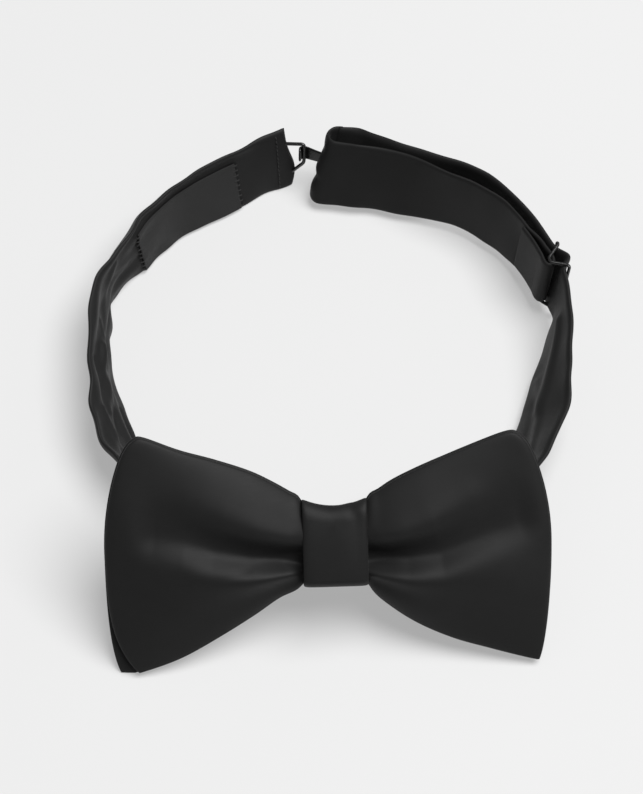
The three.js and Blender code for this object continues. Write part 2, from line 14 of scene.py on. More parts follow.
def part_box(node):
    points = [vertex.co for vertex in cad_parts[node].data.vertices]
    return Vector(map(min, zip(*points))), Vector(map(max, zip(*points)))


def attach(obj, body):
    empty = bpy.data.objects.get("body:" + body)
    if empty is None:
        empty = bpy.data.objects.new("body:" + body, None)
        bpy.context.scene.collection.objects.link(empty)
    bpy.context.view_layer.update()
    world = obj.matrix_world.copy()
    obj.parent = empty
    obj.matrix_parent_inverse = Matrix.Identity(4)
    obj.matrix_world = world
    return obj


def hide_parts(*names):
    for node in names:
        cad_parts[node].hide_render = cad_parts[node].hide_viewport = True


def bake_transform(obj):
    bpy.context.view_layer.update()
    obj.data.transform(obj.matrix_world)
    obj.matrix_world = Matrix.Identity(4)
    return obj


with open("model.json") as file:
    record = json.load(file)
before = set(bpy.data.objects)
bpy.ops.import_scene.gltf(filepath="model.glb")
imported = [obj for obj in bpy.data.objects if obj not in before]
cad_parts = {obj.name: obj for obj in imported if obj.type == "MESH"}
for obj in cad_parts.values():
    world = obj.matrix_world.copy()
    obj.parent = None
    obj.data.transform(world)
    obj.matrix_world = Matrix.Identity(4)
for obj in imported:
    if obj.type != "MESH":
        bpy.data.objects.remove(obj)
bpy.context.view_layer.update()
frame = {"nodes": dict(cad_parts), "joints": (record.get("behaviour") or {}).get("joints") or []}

MM = 0.001

# Driving dimensions

STRAP_WIDTH = 19.5
FULL_WIDTH = (0.0, STRAP_WIDTH)
STRAP_THICK = 1.7
RETURN_THICK = 1.2
FOLD_RADIUS = 2.7  # mid-line of the strap where it turns round the hook's bar
FOLD_ANGLE = -2.6  # degrees round the neck loop, from +Y and positive towards -X
THREAD = 0.17  # radius of a sewing thread

KNOT_LEAN = 48  # degrees from flat on its back to upright
KNOT_YAW = 2  # degrees about the vertical
KNOT_LENGTH = 16.2  # across the bow
KNOT_HALF_HEIGHT = 11.5
KNOT_REAR, KNOT_FRONT = -8.7, 7.3  # depths of the CAD ring, from the bow's middle
KNOT_FACE = 6.5  # depth of the cloth's own front

JOINTS = {j["name"]: j for j in frame["joints"]}
AXIS = np.array(JOINTS["slider_travel"]["pos_m"][:2]) / MM  # centre of the neck loop


# Numbers


def unit(rows):
    return rows / np.linalg.norm(rows, axis=-1, keepdims=True)


def smoothstep(low, high, value):
    t = np.clip((value - low) / (high - low), 0, 1)
    return t * t * (3 - 2 * t)


def bell(value, width):
    """A smooth bump: 1 at zero, and next to nothing at twice its half width."""
    return np.exp(-((value / width) ** 2))


def between(value, low, high, soft=8.0):
    """1 between two values and 0 outside them, with soft ends."""
    return smoothstep(low - soft, low + soft, value) * (1 - smoothstep(high - soft, high + soft, value))


def lengths(points):
    """How far along a line of points each of them is."""
    return np.concatenate([[0], np.cumsum(np.linalg.norm(np.diff(points, axis=0), axis=1))])


def eased(steps):
    """Values from -1 to 1 that lie closer together towards both ends."""
    return -np.cos(np.linspace(0, math.pi, steps + 1))


def there_and_back(row, sign=1):
    """A row and the way back over its inner values, multiplied by a sign."""
    return np.concatenate([row, sign * row[-2:0:-1]])


def cubic(t, gap, start, end, start_slope, end_slope):
    """A smooth curve's value at a share t of a gap, from its values and slopes at both ends."""
    rise = 3 * t**2 - 2 * t**3
    turns = (t**3 - 2 * t**2 + t) * start_slope + (t**3 - t**2) * end_slope
    return (1 - rise) * start + rise * end + gap * turns


def smooth(rows, step):
    """Rows again along a smooth curve through them, about step apart."""
    rows = np.array(rows, float)
    place = lengths(rows[:, :3])
    slope = np.gradient(rows, place, axis=0)
    at = np.linspace(0, place[-1], int(place[-1] / step) + 2)
    i = np.clip(np.searchsorted(place, at) - 1, 0, len(place) - 2)
    gap = (place[i + 1] - place[i])[:, None]
    t = (at - place[i])[:, None] / gap
    return cubic(t, gap, rows[i], rows[i + 1], slope[i], slope[i + 1])


def ripple(x, y, size, amount, seed, count=7):
    """A gentle uneven surface: a sum of waves about size long, in directions drawn from a seed."""
    draw = np.random.default_rng(seed)
    total = 0.0
    for _ in range(count):
        way = draw.uniform(0, 2 * math.pi)
        pitch = size * draw.uniform(0.7, 1.6)
        phase = draw.uniform(0, 2 * math.pi)
        total = total + np.sin((x * math.cos(way) + y * math.sin(way)) * 2 * math.pi / pitch + phase)
    return total * amount / math.sqrt(count)


def crease(x, y, path, depth, width):
    """A ridge along a path of points, or a valley where its depth is negative.

    Depth and half width are given at its two ends, and it fades out beyond them.
    """
    path = np.array(path, float)
    place = lengths(path)
    best = np.full(np.broadcast(x, y).shape, np.inf)
    share = np.zeros_like(best)
    for k in range(len(path) - 1):
        way = path[k + 1] - path[k]
        t = np.clip(((x - path[k, 0]) * way[0] + (y - path[k, 1]) * way[1]) / (way @ way), 0, 1)
        away = np.hypot(x - path[k, 0] - t * way[0], y - path[k, 1] - t * way[1])
        closer = away < best
        best = np.where(closer, away, best)
        share = np.where(closer, (place[k] + t * (place[k + 1] - place[k])) / place[-1], share)
    wide = width[0] + (width[1] - width[0]) * share
    return (depth[0] + (depth[1] - depth[0]) * share) * bell(best, wide)


# Meshes


def make_piece(name, points, faces, material, uvs=None):
    """A smooth mesh from points in millimetres, with one uv per point where they are given."""
    mesh = bpy.data.meshes.new(name)
    mesh.from_pydata((np.asarray(points, float) * MM).tolist(), [], faces)
    mesh.validate()
    mesh.polygons.foreach_set("use_smooth", [True] * len(mesh.polygons))
    if uvs is not None:
        layer = mesh.uv_layers.new(name="Cloth")
        corner_vertex = np.empty(len(mesh.loops), int)
        mesh.loops.foreach_get("vertex_index", corner_vertex)
        layer.data.foreach_set("uv", np.asarray(uvs, float)[corner_vertex].ravel())
    mesh.materials.append(material)
    mesh.update()
    piece = bpy.data.objects.new(name, mesh)
    bpy.context.scene.collection.objects.link(piece)
    return piece


def tube_faces(rows, columns, capped=True):
    """Faces of a tube of rows of points. Its ends are zipped shut, or joined to each other."""
    faces = []
    for i in range(rows - 1 if capped else rows):
        here, there = i * columns, (i + 1) % rows * columns
        for j in range(columns):
            k = (j + 1) % columns
            faces.append((here + j, here + k, there + k, there + j))
    if capped:
        last = (rows - 1) * columns
        for j in range(columns // 2):
            near = [j, j + 1, (columns - j - 1) % columns, (columns - j) % columns]
            near = list(dict.fromkeys(near))
            faces.append(tuple(reversed(near)))
            faces.append(tuple(last + k for k in near))
    return faces


def make_tube(name, points, uvs, material, capped=True):
    """A piece from rows of points round it."""
    faces = tube_faces(*points.shape[:2], capped)
    return make_piece(name, points.reshape(-1, 3), faces, material, uvs.reshape(-1, 2))


ASKEW = (0.31, 0.2, 0.93)  # a direction that no thread or wire runs in
DOME = [(-1.0, 0.1), (-0.7, 0.72), (0, 1)]  # rings of a domed end: places past it and sizes, in radii


def tube(points, radius, sides=8, closed=False):
    """Points, faces and uvs of a round thread or wire along a line, with domed ends where it is open."""
    points = np.array(points, float)
    if closed:
        along = unit(np.roll(points, -1, axis=0) - np.roll(points, 1, axis=0))
    else:
        along = unit(np.gradient(points, axis=0))
    side = np.zeros_like(along)
    start = np.cross(along[0], ASKEW)
    for i, way in enumerate(along):
        start = start - way * (start @ way)
        start = start / np.linalg.norm(start)
        side[i] = start
    up = np.cross(along, side)
    turn = np.linspace(0, 2 * math.pi, sides, endpoint=False)
    ring = np.cos(turn)[:, None] * side[:, None] + np.sin(turn)[:, None] * up[:, None]
    scale = np.ones(len(points))
    if not closed:
        head = [points[0] + along[0] * radius * d for d, _ in DOME]
        tail = [points[-1] - along[-1] * radius * d for d, _ in DOME]
        points = np.concatenate([head, points[1:-1], tail[::-1]])
        ends = [wide for _, wide in DOME]
        scale = np.concatenate([ends, np.ones(len(along) - 2), ends[::-1]])
        ring = np.concatenate([ring[:1]] * len(DOME) + [ring[1:-1]] + [ring[-1:]] * len(DOME))
    skin = points[:, None] + ring * scale[:, None, None] * radius
    run = lengths(points)
    uvs = np.stack(np.broadcast_arrays(run[:, None], turn[None] * radius), axis=-1)
    return skin.reshape(-1, 3), tube_faces(len(points), sides, not closed), uvs.reshape(-1, 2)


def merged(shells):
    """Several shells of points, faces and uvs as one."""
    points, faces, uvs = [], [], []
    for p, f, uv in shells:
        start = sum(len(x) for x in points)
        faces += [tuple(start + k for k in face) for face in f]
        points.append(p)
        uvs.append(uv)
    return np.concatenate(points), faces, np.concatenate(uvs)


def add_threads(name, lines, body, node, radius=THREAD):
    """One piece of several threads."""
    points, faces, uvs = merged([tube(line, radius) for line in lines])
    finish(make_piece(name, points, faces, COTTON, uvs), body, "thread", node)


# The straps follow the CAD solids. A section is a row of six numbers: its lower and its upper edge point.

SECTION_ROOM = 0.7  # degrees by which the first and the last section stay inside a CAD band's ends


def outward(angle):
    """The direction away from the neck loop's centre at an angle round it."""
    return np.array([-math.sin(math.radians(angle)), math.cos(math.radians(angle)), 0])


def cad_section(node, angle):
    """The section of a CAD band in the half plane at an angle round the neck loop."""
    mesh = frame["nodes"][node].data
    mesh.calc_loop_triangles()
    points = np.array([v.co for v in mesh.vertices]) / MM
    triangles = np.array([t.vertices for t in mesh.loop_triangles])
    out = outward(angle)
    away = (points[:, :2] - AXIS) @ np.array([-out[1], out[0]])
    place = np.stack([(points[:, :2] - AXIS) @ out[:2], points[:, 2]], axis=1)
    found = []
    for a, b in ((0, 1), (1, 2), (2, 0)):
        i, j = triangles[:, a], triangles[:, b]
        crosses = (away[i] < 0) != (away[j] < 0)
        i, j = i[crosses], j[crosses]
        t = (away[i] / (away[i] - away[j]))[:, None]
        found.append(place[i] + t * (place[j] - place[i]))
    found = np.concatenate(found)
    found = found[found[:, 0] > 0]
    centre = found.mean(axis=0)
    up = np.linalg.eigh(np.cov((found - centre).T))[1][:, 1]  # the way in which the section is longest
    up = up * np.sign(up[1])
    side = np.array([up[1], -up[0]])
    high, wide = (found - centre) @ up, (found - centre) @ side
    centre = centre + side * (wide.max() + wide.min()) / 2
    ends = [centre + up * high.min(), centre + up * high.max()]
    return np.concatenate([[AXIS[0] + r * out[0], AXIS[1] + r * out[1], z] for r, z in ends])


def cad_sections(node, count, last=180):
    """Sections of a CAD band from one end to the other, or to a last angle."""
    points = np.array([v.co for v in frame["nodes"][node].data.vertices]) / MM
    angles = np.degrees(np.arctan2(AXIS[0] - points[:, 0], points[:, 1] - AXIS[1]))
    first, last = angles.min() + SECTION_ROOM, min(angles.max() - SECTION_ROOM, last)
    return [cad_section(node, a) for a in np.linspace(first, last, count)]


class Strap:
    """A strap laid along sections, with waves. Positive depths face away from the neck loop."""

    FACE_STEPS = 44  # across one face
    EDGE_ROUND = 0.5  # share of the width over which an edge is rounded, at most
    CAP = np.sin(np.linspace(0.15, 1.5, 5))  # thickness of the rows that round off an end
    BULGE_LENGTH = 5

    def __init__(self, sections, waves, step=0.6):
        rows = smooth(sections, step)
        self.step = step
        self.lower, self.upper = rows[:, :3], rows[:, 3:]
        middle = (self.lower + self.upper) / 2
        self.run = lengths(middle)
        along = np.gradient(middle, self.run, axis=0)
        self.normal = unit(np.cross(along, self.upper - self.lower))
        self.waves = waves

    def line(self, values, run):
        """Values along the strap at other lengths along it."""
        return np.stack([np.interp(run, self.run, values[:, k]) for k in range(3)], axis=-1)

    def point(self, run, across, depth):
        """Places at lengths along the strap, shares of its width and depths off its middle surface."""
        run, across, depth = np.broadcast_arrays(run, across, depth)
        lower, upper = self.line(self.lower, run), self.line(self.upper, run)
        normal = self.line(self.normal, run)
        off = depth + self.waves(run, across * STRAP_WIDTH)
        return lower + (upper - lower) * across[..., None] + normal * off[..., None]

    def solid(self, name, runs, material, thick=STRAP_THICK, heights=FULL_WIDTH, depth=0.0, bulge=None):
        """A closed piece of the strap between two runs and two heights, with pressed edges.

        Bulge gives how far its start is pushed out at a share of its width. It rests on the table.
        """
        start, end = runs
        low, high = heights
        half, cap = self.FACE_STEPS, self.CAP
        face = 0.5 + 0.5 * eased(half)
        edge = min(self.EDGE_ROUND, thick / (high - low))
        round_off = np.sqrt(1 - np.clip(1 - np.minimum(face, 1 - face) / edge, 0, 1) ** 2)
        share = there_and_back(face)
        side = there_and_back(round_off, -1)
        across = (low + share * (high - low)) / STRAP_WIDTH
        inset = (1 - np.sqrt(1 - cap**2)) * thick / 2
        rows = np.linspace(start, end, int(abs(end - start) / self.step) + 2)
        first, last = start + inset, (end - inset)[::-1]
        middle = rows[(rows > first[-1]) & (rows < last[0])]
        run = np.concatenate([first, middle, last])[:, None]
        scale = np.concatenate([cap, np.ones(len(middle)), cap[::-1]])[:, None]
        if bulge is None:
            pushed = run
        else:
            pushed = run - bulge(across) * (1 - smoothstep(start, start + self.BULGE_LENGTH, run))
        points = self.point(pushed, across, depth + side * scale * thick / 2)
        points[..., 2] = np.maximum(points[..., 2], 0)
        around = np.concatenate([share[: half + 1], 2 - share[half + 1 :]]) * (high - low)
        uvs = np.stack(np.broadcast_arrays(run, around), axis=-1)
        return make_tube(name, points, uvs, material)


# Materials


class Nodes:
    """A material's nodes, set and linked by their inputs' names, with underscores for spaces."""

    def __init__(self, name):
        self.material = bpy.data.materials.new(name)
        self.material.use_nodes = True
        self.tree = self.material.node_tree
        self.tree.nodes.clear()
        self.shader = self.tree.nodes.new("ShaderNodeBsdfPrincipled")
        self.add("ShaderNodeOutputMaterial", Surface=self.shader.outputs["BSDF"])

    def put(self, value, socket):
        """Links an output to an input, or sets the input where the value is a number or a colour."""
        if isinstance(value, bpy.types.NodeSocket):
            self.tree.links.new(value, socket)
        else:
            socket.default_value = value

    def add(self, kind, **values):
        node = self.tree.nodes.new(kind)
        for key, value in values.items():
            name = key.replace("_", " ")
            if name in node.inputs:
                self.put(value, node.inputs[name])
            else:
                setattr(node, key, value)
        return node

    def set(self, **values):
        for key, value in values.items():
            self.put(value, self.shader.inputs[key.replace("_", " ")])

    def uv(self, scale, turn=0.0):
        """Places on the cloth, scaled and turned by degrees."""
        place = self.add("ShaderNodeUVMap", uv_map="Cloth").outputs["UV"]
        turned = (0, 0, math.radians(turn))
        return self.add("ShaderNodeMapping", Vector=place, Scale=scale, Rotation=turned).outputs["Vector"]

    def waves(self, vector, direction="X", distortion=0.0):
        node = self.add("ShaderNodeTexWave", wave_type="BANDS", bands_direction=direction)
        for name, value in (("Vector", vector), ("Scale", 1), ("Distortion", distortion)):
            self.put(value, node.inputs[name])
        return node.outputs["Fac"]

    def noise(self, vector, scale, detail=3.0):
        return self.add("ShaderNodeTexNoise", Vector=vector, Scale=scale, Detail=detail).outputs["Fac"]

    def ramp(self, value, low, high):
        """Value as a colour between two others. A colour mix has them as inputs 6 and 7."""
        node = self.add("ShaderNodeMix", data_type="RGBA")
        for k, part in ((0, value), (6, low), (7, high)):
            self.put(part, node.inputs[k])
        return node.outputs[2]

    def scaled(self, value, low, high):
        return self.add("ShaderNodeMapRange", Value=value, To_Min=low, To_Max=high).outputs["Result"]

    def maths(self, operation, a, b):
        node = self.add("ShaderNodeMath", operation=operation)
        self.put(a, node.inputs[0])
        self.put(b, node.inputs[1])
        return node.outputs[0]

    def bump(self, height, distance, strength=1.0):
        node = self.add("ShaderNodeBump", Height=height, Distance=distance, Strength=strength)
        self.set(Normal=node.outputs["Normal"])


def grey(level, tint=(1, 1, 1)):
    return (level * tint[0], level * tint[1], level * tint[2], 1)


def satin_material():
    """Black silk satin: long floats over a fine twill, a soft sheen and faint slubs along the weft."""
    n = Nodes("satin")
    twill = n.waves(n.uv((1.15, 2.1, 1), 24), "X", 0.4)
    weft = n.waves(n.uv((1, 3.2, 1)), "Y", 0.6)
    slubs = n.noise(n.uv((0.25, 2.6, 1)), 1.0, 4)
    cloud = n.noise(n.uv((0.06, 0.09, 1)), 1.0, 2)
    weave = n.maths("ADD", n.maths("MULTIPLY", twill, 0.6), n.maths("MULTIPLY", weft, 0.4))
    tone = n.maths("ADD", n.maths("MULTIPLY", cloud, 0.6), n.maths("MULTIPLY", slubs, 0.4))
    n.set(Base_Color=n.ramp(tone, grey(0.0074), grey(0.0114)), Roughness=n.scaled(slubs, 0.46, 0.6))
    n.set(Specular_IOR_Level=0.13, Sheen_Weight=0.03, Sheen_Roughness=0.45, Anisotropic=0.25)
    n.set(Sheen_Tint=grey(0.9))
    n.bump(n.maths("ADD", weave, n.maths("MULTIPLY", slubs, 0.9)), 0.00003, 0.5)
    return n.material


def interlining_material():
    """Off-white woven canvas."""
    n = Nodes("interlining")
    warp = n.waves(n.uv((0.9, 0.9, 1)), "X", 0.8)
    weft = n.waves(n.uv((0.9, 0.9, 1)), "Y", 0.8)
    fluff = n.noise(n.uv((1.2, 1.2, 1)), 1.0, 4)
    weave = n.maths("MULTIPLY", warp, weft)
    yarn = n.ramp(fluff, grey(0.52, (1, 0.96, 0.88)), grey(0.72, (1, 0.97, 0.9)))
    n.set(Base_Color=yarn, Roughness=n.scaled(weave, 0.85, 0.97))
    n.bump(n.maths("ADD", weave, n.maths("MULTIPLY", fluff, 0.5)), 0.00006)
    return n.material


def thread_material():
    """Black twisted sewing thread."""
    n = Nodes("thread")
    twist = n.waves(n.uv((2.4, 3.2, 1), 38), "X", 0.3)
    fuzz = n.noise(n.uv((5, 5, 1)), 1.0, 3)
    n.set(Base_Color=n.ramp(twist, grey(0.004), grey(0.016)), Roughness=n.scaled(fuzz, 0.5, 0.75))
    n.bump(n.maths("ADD", twist, n.maths("MULTIPLY", fuzz, 0.3)), 0.00005)
    return n.material


def label_material():
    """Matte black damask label cloth, with fine ribs across it."""
    n = Nodes("label")
    ribs = n.waves(n.uv((1.3, 1, 1)), "X", 0.15)
    floats = n.waves(n.uv((1, 2.4, 1)), "Y", 0.4)
    mottle = n.noise(n.uv((0.5, 0.9, 1)), 1.0, 4)
    tone = n.maths("ADD", n.maths("MULTIPLY", ribs, 0.4), n.maths("MULTIPLY", mottle, 0.6))
    n.set(Base_Color=n.ramp(tone, grey(0.011), grey(0.018)), Roughness=n.scaled(mottle, 0.74, 0.9))
    n.set(Specular_IOR_Level=0.2, Sheen_Weight=0.06, Sheen_Roughness=0.5)
    n.bump(n.maths("ADD", n.maths("MULTIPLY", ribs, floats), mottle), 0.00004)
    return n.material


def metal_material():
    """Black-lacquered metal, worn to a dark steel along its edges."""
    n = Nodes("black_metal")
    place = n.add("ShaderNodeTexCoord").outputs["Object"]
    scratches = n.noise(place, 1400.0, 5)
    patches = n.noise(place, 260.0, 3)
    edges = n.add("ShaderNodeNewGeometry").outputs["Pointiness"]
    worn = n.add("ShaderNodeMapRange", clamp=True, Value=edges, From_Min=0.53, From_Max=0.66)
    amount = n.maths("MULTIPLY", worn.outputs["Result"], patches)
    n.set(Base_Color=n.ramp(amount, grey(0.006), grey(0.16)), Roughness=n.scaled(scratches, 0.26, 0.44))
    n.set(Metallic=n.scaled(amount, 0.35, 1.0), Coat_Weight=0.3, Coat_Roughness=0.2)
    n.bump(scratches, 0.00002, 0.4)
    return n.material


SATIN = satin_material()
CANVAS = interlining_material()
COTTON = thread_material()
LABEL = label_material()
METAL = metal_material()


# The neck band: left half, centre behind the knot, right half, and the return with the slider on it

# Angles are degrees round the neck loop.
SLIDER_ANGLE = -72
ARC_ANGLE = -15  # of the section that is repeated beside the fold
ARC_FROM = -24  # beyond it the slider's section is repeated instead
SLANT = 3.3  # by how much the fold's lower end lies nearer to the hook
SLANT_BEFORE = 0.6 * SLANT  # the same for the strap just beside the fold
UPPER_SLANT = -0.35  # share of it for the upper end, which lies further away
BAND_UNTIL, RETURN_UNTIL = -12, -11  # how near to the fold the CAD bands' own sections are used
BESIDE_FOLD = -7.5  # where the strap goes over into the fold

SLIDER_DROP = 2.5  # middle bar below the strap's mid-line
TAIL_RADIUS = 1.05  # mid-line of the strap round the middle bar
TAIL_DRAWN = 0.13  # share of the looped tail's width by which its lower edge is drawn up
# The tail's two layers: degrees from the slider and offsets outwards from the right strap.
TAIL_OUTER = [(14, -2.6), (10, -2.2), (5, -1.7)]
TAIL_INNER = [(3, -3.7), (7, -3.8), (12, -4.0)]
# The angle and offset where the return leaves its fold.
RETURN_START = (-7, -5.6)

CENTRE_DEPTH = -5.8  # of the strap behind the bow's middle
# Places along the bow and the strap's half heights there: the knot draws it together.
CENTRE_HALVES = [(-9, 9.1), (-4.5, 8.1), (0, 7.8), (4.5, 8.1), (9, 9.1)]
END_ROOM = 3.0  # stretch added before the closure end, for the bulge over the eye


def knot_frame():
    """The bow's axes in the frame: x across it, y up its face and z out of its front."""
    turn = Matrix.Rotation(math.radians(KNOT_YAW), 4, "Z")
    turn = turn @ Matrix.Rotation(math.radians(KNOT_LEAN), 4, "X")
    low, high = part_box("knot_wrap")
    middle = turn.to_3x3() @ Vector((0, 0, (KNOT_REAR + KNOT_FRONT) / 2))
    return Matrix.Translation((low + high) / 2 / MM - middle) @ turn


KNOT = np.array(knot_frame())


def on_bow(points):
    """Bow coordinates as frame coordinates."""
    return np.asarray(points) @ KNOT[:3, :3].T + KNOT[:3, 3]


def centre_sections():
    """The strap behind the knot, where it lies flat against the bow."""
    ends = [[[x, -half, CENTRE_DEPTH], [x, half, CENTRE_DEPTH]] for x, half in CENTRE_HALVES]
    return [np.concatenate(on_bow(pair)) for pair in ends]


ARC = cad_section("right_band", SLIDER_ANGLE)
FOLD_ARC = cad_section("right_band", ARC_ANGLE)


def arc_section(angle, offset=0.0, slant=0.0):
    """The right half's section at any angle of its round stretch, moved outwards by an offset.

    Slant is how many degrees its lower end lies nearer to the hook.
    """
    ends = []
    section = FOLD_ARC if angle > ARC_FROM else ARC
    for edge, share in ((section[:3], 1), (section[3:], UPPER_SLANT)):
        out = outward(angle + slant * share)
        radius = np.linalg.norm(edge[:2] - AXIS) + offset
        ends.append([AXIS[0] + radius * out[0], AXIS[1] + radius * out[1], edge[2]])
    return np.concatenate(ends)


def fold_sections(angle, offset, radius, way, turns, slant=0.0):
    """Sections round a fold. Its nose points to the hook where way is 1 and to the bow where it is -1."""
    out = outward(angle)
    along = np.array([-out[1], out[0], 0])
    found = []
    for turn in np.radians(turns):
        move = out * radius * math.cos(turn) + along * way * radius * math.sin(turn)
        found.append(arc_section(angle, offset, slant) + np.tile(move, 2))
    return found


def band_sections():
    """The whole strap, from its closure end past the knot to its fold round the hook's bar."""
    left = cad_sections("left_end_band", 14) + cad_sections("left_side_band", 24)
    step = left[0] - left[1]
    beyond = left[0] + step * END_ROOM / np.linalg.norm(step[:3])
    right = cad_sections("right_band", 34, last=BAND_UNTIL)
    fold = [arc_section(BESIDE_FOLD, 0, SLANT_BEFORE), arc_section(FOLD_ANGLE, 0, SLANT)]
    return [beyond] + left + centre_sections() + right + fold


def return_sections():
    """The return, from its fold round the hook's bar to the tail's end behind the slider."""
    start = arc_section(FOLD_ANGLE - 1, 0, SLANT)
    nose = fold_sections(FOLD_ANGLE, -FOLD_RADIUS, FOLD_RADIUS, 1, np.linspace(0, 180, 9), SLANT)
    leaving = arc_section(*RETURN_START, SLANT_BEFORE)
    middle = cad_sections("return_band", 9, last=RETURN_UNTIL)[::-1]
    outer = [arc_section(SLIDER_ANGLE + a, offset) for a, offset in TAIL_OUTER]
    drop = -SLIDER_DROP / math.cos(math.atan2(ARC[3] - ARC[0], ARC[5] - ARC[2]))
    loop = fold_sections(SLIDER_ANGLE, drop, TAIL_RADIUS, -1, np.linspace(20, 160, 7))
    inner = [arc_section(SLIDER_ANGLE + a, offset) for a, offset in TAIL_INNER]
    tail = outer + loop + inner
    drawn = TAIL_DRAWN * np.array([0.4, 0.8] + [1] * (len(tail) - 2))
    tail = [np.concatenate([s[:3] + (s[3:] - s[:3]) * d, s[3:]]) for s, d in zip(tail, drawn)]
    return [start] + nose + [leaving] + middle + tail


# Runs along the band between which it is free and wrinkled, and the dimensions of its waves.
LEFT_SIDE = (50, 132)
RIGHT_SIDE = (222, 292)
CLOSURE_SIDE = (14, 66)  # where its upper edge curls inwards
RIM_FROM, RIM_CURL = 16.0, -1.5  # the height from which it does so, and how far
FOLD_SIDE = (284, 380)  # where its edges lie calm
HUMP = ([21, 4], (3.0, 0.3), (2.4, 3.0))  # its ridge over the slider: heights, depths and half widths
TUCK = -3.3  # how far it is drawn in past the slider
TUCK_SIDE = (42, 67)  # and where, from the slider's run
# Pleats of the return at its fold: height, half width and depth of each.
PLEATS = [(9.3, 1.5, 0.38), (6.6, 1.3, -0.34), (3.2, 1.7, 0.3), (15.2, 1.6, -0.35)]
NOSE = (5, 3.2)  # middle and half width of the fold along the return

# Creases of the straps: points of run and height, depth at both ends and half width at both ends.
CREASES = [
    ([(66, 15), (84, 9), (96, 6)], (-0.5, -0.2), (1.0, 1.6)),
    ([(72, 4), (92, 8), (104, 13)], (0.5, 0.35), (1.0, 1.4)),
    ([(92, 13), (110, 8), (126, 5)], (-0.75, -0.5), (1.1, 1.7)),
    ([(98, 16), (114, 12), (131, 10)], (0.6, 0.5), (1.3, 1.8)),
    ([(108, 4), (122, 3), (134, 6)], (0.6, 0.6), (1.0, 1.6)),
    ([(60, 9), (74, 12), (90, 15)], (0.4, 0.2), (1.0, 1.6)),
    ([(84, 13), (100, 9), (112, 11)], (-0.5, -0.4), (0.7, 0.9)),
    ([(104, 7), (118, 10), (128, 15)], (0.55, 0.4), (0.7, 1.0)),
    ([(112, 15), (124, 12), (136, 13)], (-0.5, -0.4), (0.7, 0.9)),
    ([(232, 9), (240, 10), (248, 13)], (1.5, 0.3), (3.2, 1.6)),
    ([(230, 14), (241, 14), (252, 10)], (-0.7, -0.2), (1.3, 1.5)),
    ([(236, 4), (246, 5), (258, 9)], (-0.55, -0.3), (1.2, 1.6)),
    ([(222, 20), (234, 20), (244, 20)], (2.2, 1.0), (6, 5)),
    ([(250, 4), (262, 7), (276, 6)], (0.45, 0.3), (1.2, 1.8)),
    ([(258, 12), (272, 9), (284, 4)], (-0.5, -0.35), (1.1, 1.8)),
    ([(272, 8), (284, 10), (298, 13)], (-0.5, -1.0), (1.8, 1.8)),
]


def edge_share(high):
    """How near a height is to an edge of the strap: 0 at its middle and 1 at both edges."""
    return np.abs(2 * high / STRAP_WIDTH - 1)


def band_waves(run, high):
    """Waves of the whole neck band: a slow wander, and pulls where it was wound and folded."""
    left, right = between(run, *LEFT_SIDE), between(run, *RIGHT_SIDE)
    slow = ripple(run, high * 0.4, size=34, amount=0.3, seed=3) * between(run, 6, 285)
    calm = 1 - 0.75 * between(run, *FOLD_SIDE)
    edges = ripple(run, high * 0.2, size=11, amount=0.42, seed=8) * edge_share(high) ** 3 * calm
    left_streaks = ripple(run * 0.2, high, size=5.2, amount=0.36, seed=31) * left
    right_streaks = ripple(run * 0.22, high, size=6.5, amount=0.17, seed=32) * right
    slanted = ripple(run * 0.4 + high * 0.7, high * 0.5, size=8, amount=0.26, seed=33) * left
    rim = RIM_CURL * smoothstep(RIM_FROM, STRAP_WIDTH, high) ** 1.5 * between(run, *CLOSURE_SIDE, soft=6)
    folds = sum(crease(run, high, *fold) for fold in CREASES)
    heights, depth, width = HUMP
    hump = crease(run, high, [(SLIDER_RUN, h) for h in heights], depth, width)
    tuck = TUCK * between(run - SLIDER_RUN, *TUCK_SIDE, soft=10)
    return slow + edges + left_streaks + right_streaks + slanted + rim + folds + hump + tuck


def return_waves(run, high):
    """Waves of the return, which lies smoother and keeps clear of the band at its fold and its tail."""
    pleats = sum(depth * bell(high - middle, width) for middle, width, depth in PLEATS)
    calm = smoothstep(10, 20, run) * (1 - smoothstep(RETURN_LENGTH - 30, RETURN_LENGTH - 20, run))
    slow = ripple(run, high * 0.5, size=22, amount=0.3, seed=21)
    edges = ripple(run, high * 0.2, size=14, amount=0.45, seed=22) * edge_share(high) ** 2
    return (slow + edges) * calm + pleats * bell(run - NOSE[0], NOSE[1])


BAND = Strap(band_sections(), band_waves)
RETURN_LENGTH = lengths(np.array(return_sections())[:, :3])[-1]
RETURN = Strap(return_sections(), return_waves, 0.4)


def run_at(strap, angle):
    """How far along a strap its middle is at an angle round the neck loop."""
    middle = (strap.lower + strap.upper) / 2 - np.append(AXIS, 0)
    out = outward(angle)
    side = np.abs(middle[:, 0] * out[1] - middle[:, 1] * out[0])
    side[middle @ out < 0] = np.inf
    return strap.run[side.argmin()]


def finish(piece, body, slot, *nodes):
    """Puts a piece on its body, if it has just one, and hides the CAD nodes it stands for. Its slot, the
    finish, is not used.
    """
    if body:
        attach(piece, body)
    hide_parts(*nodes)
    return piece


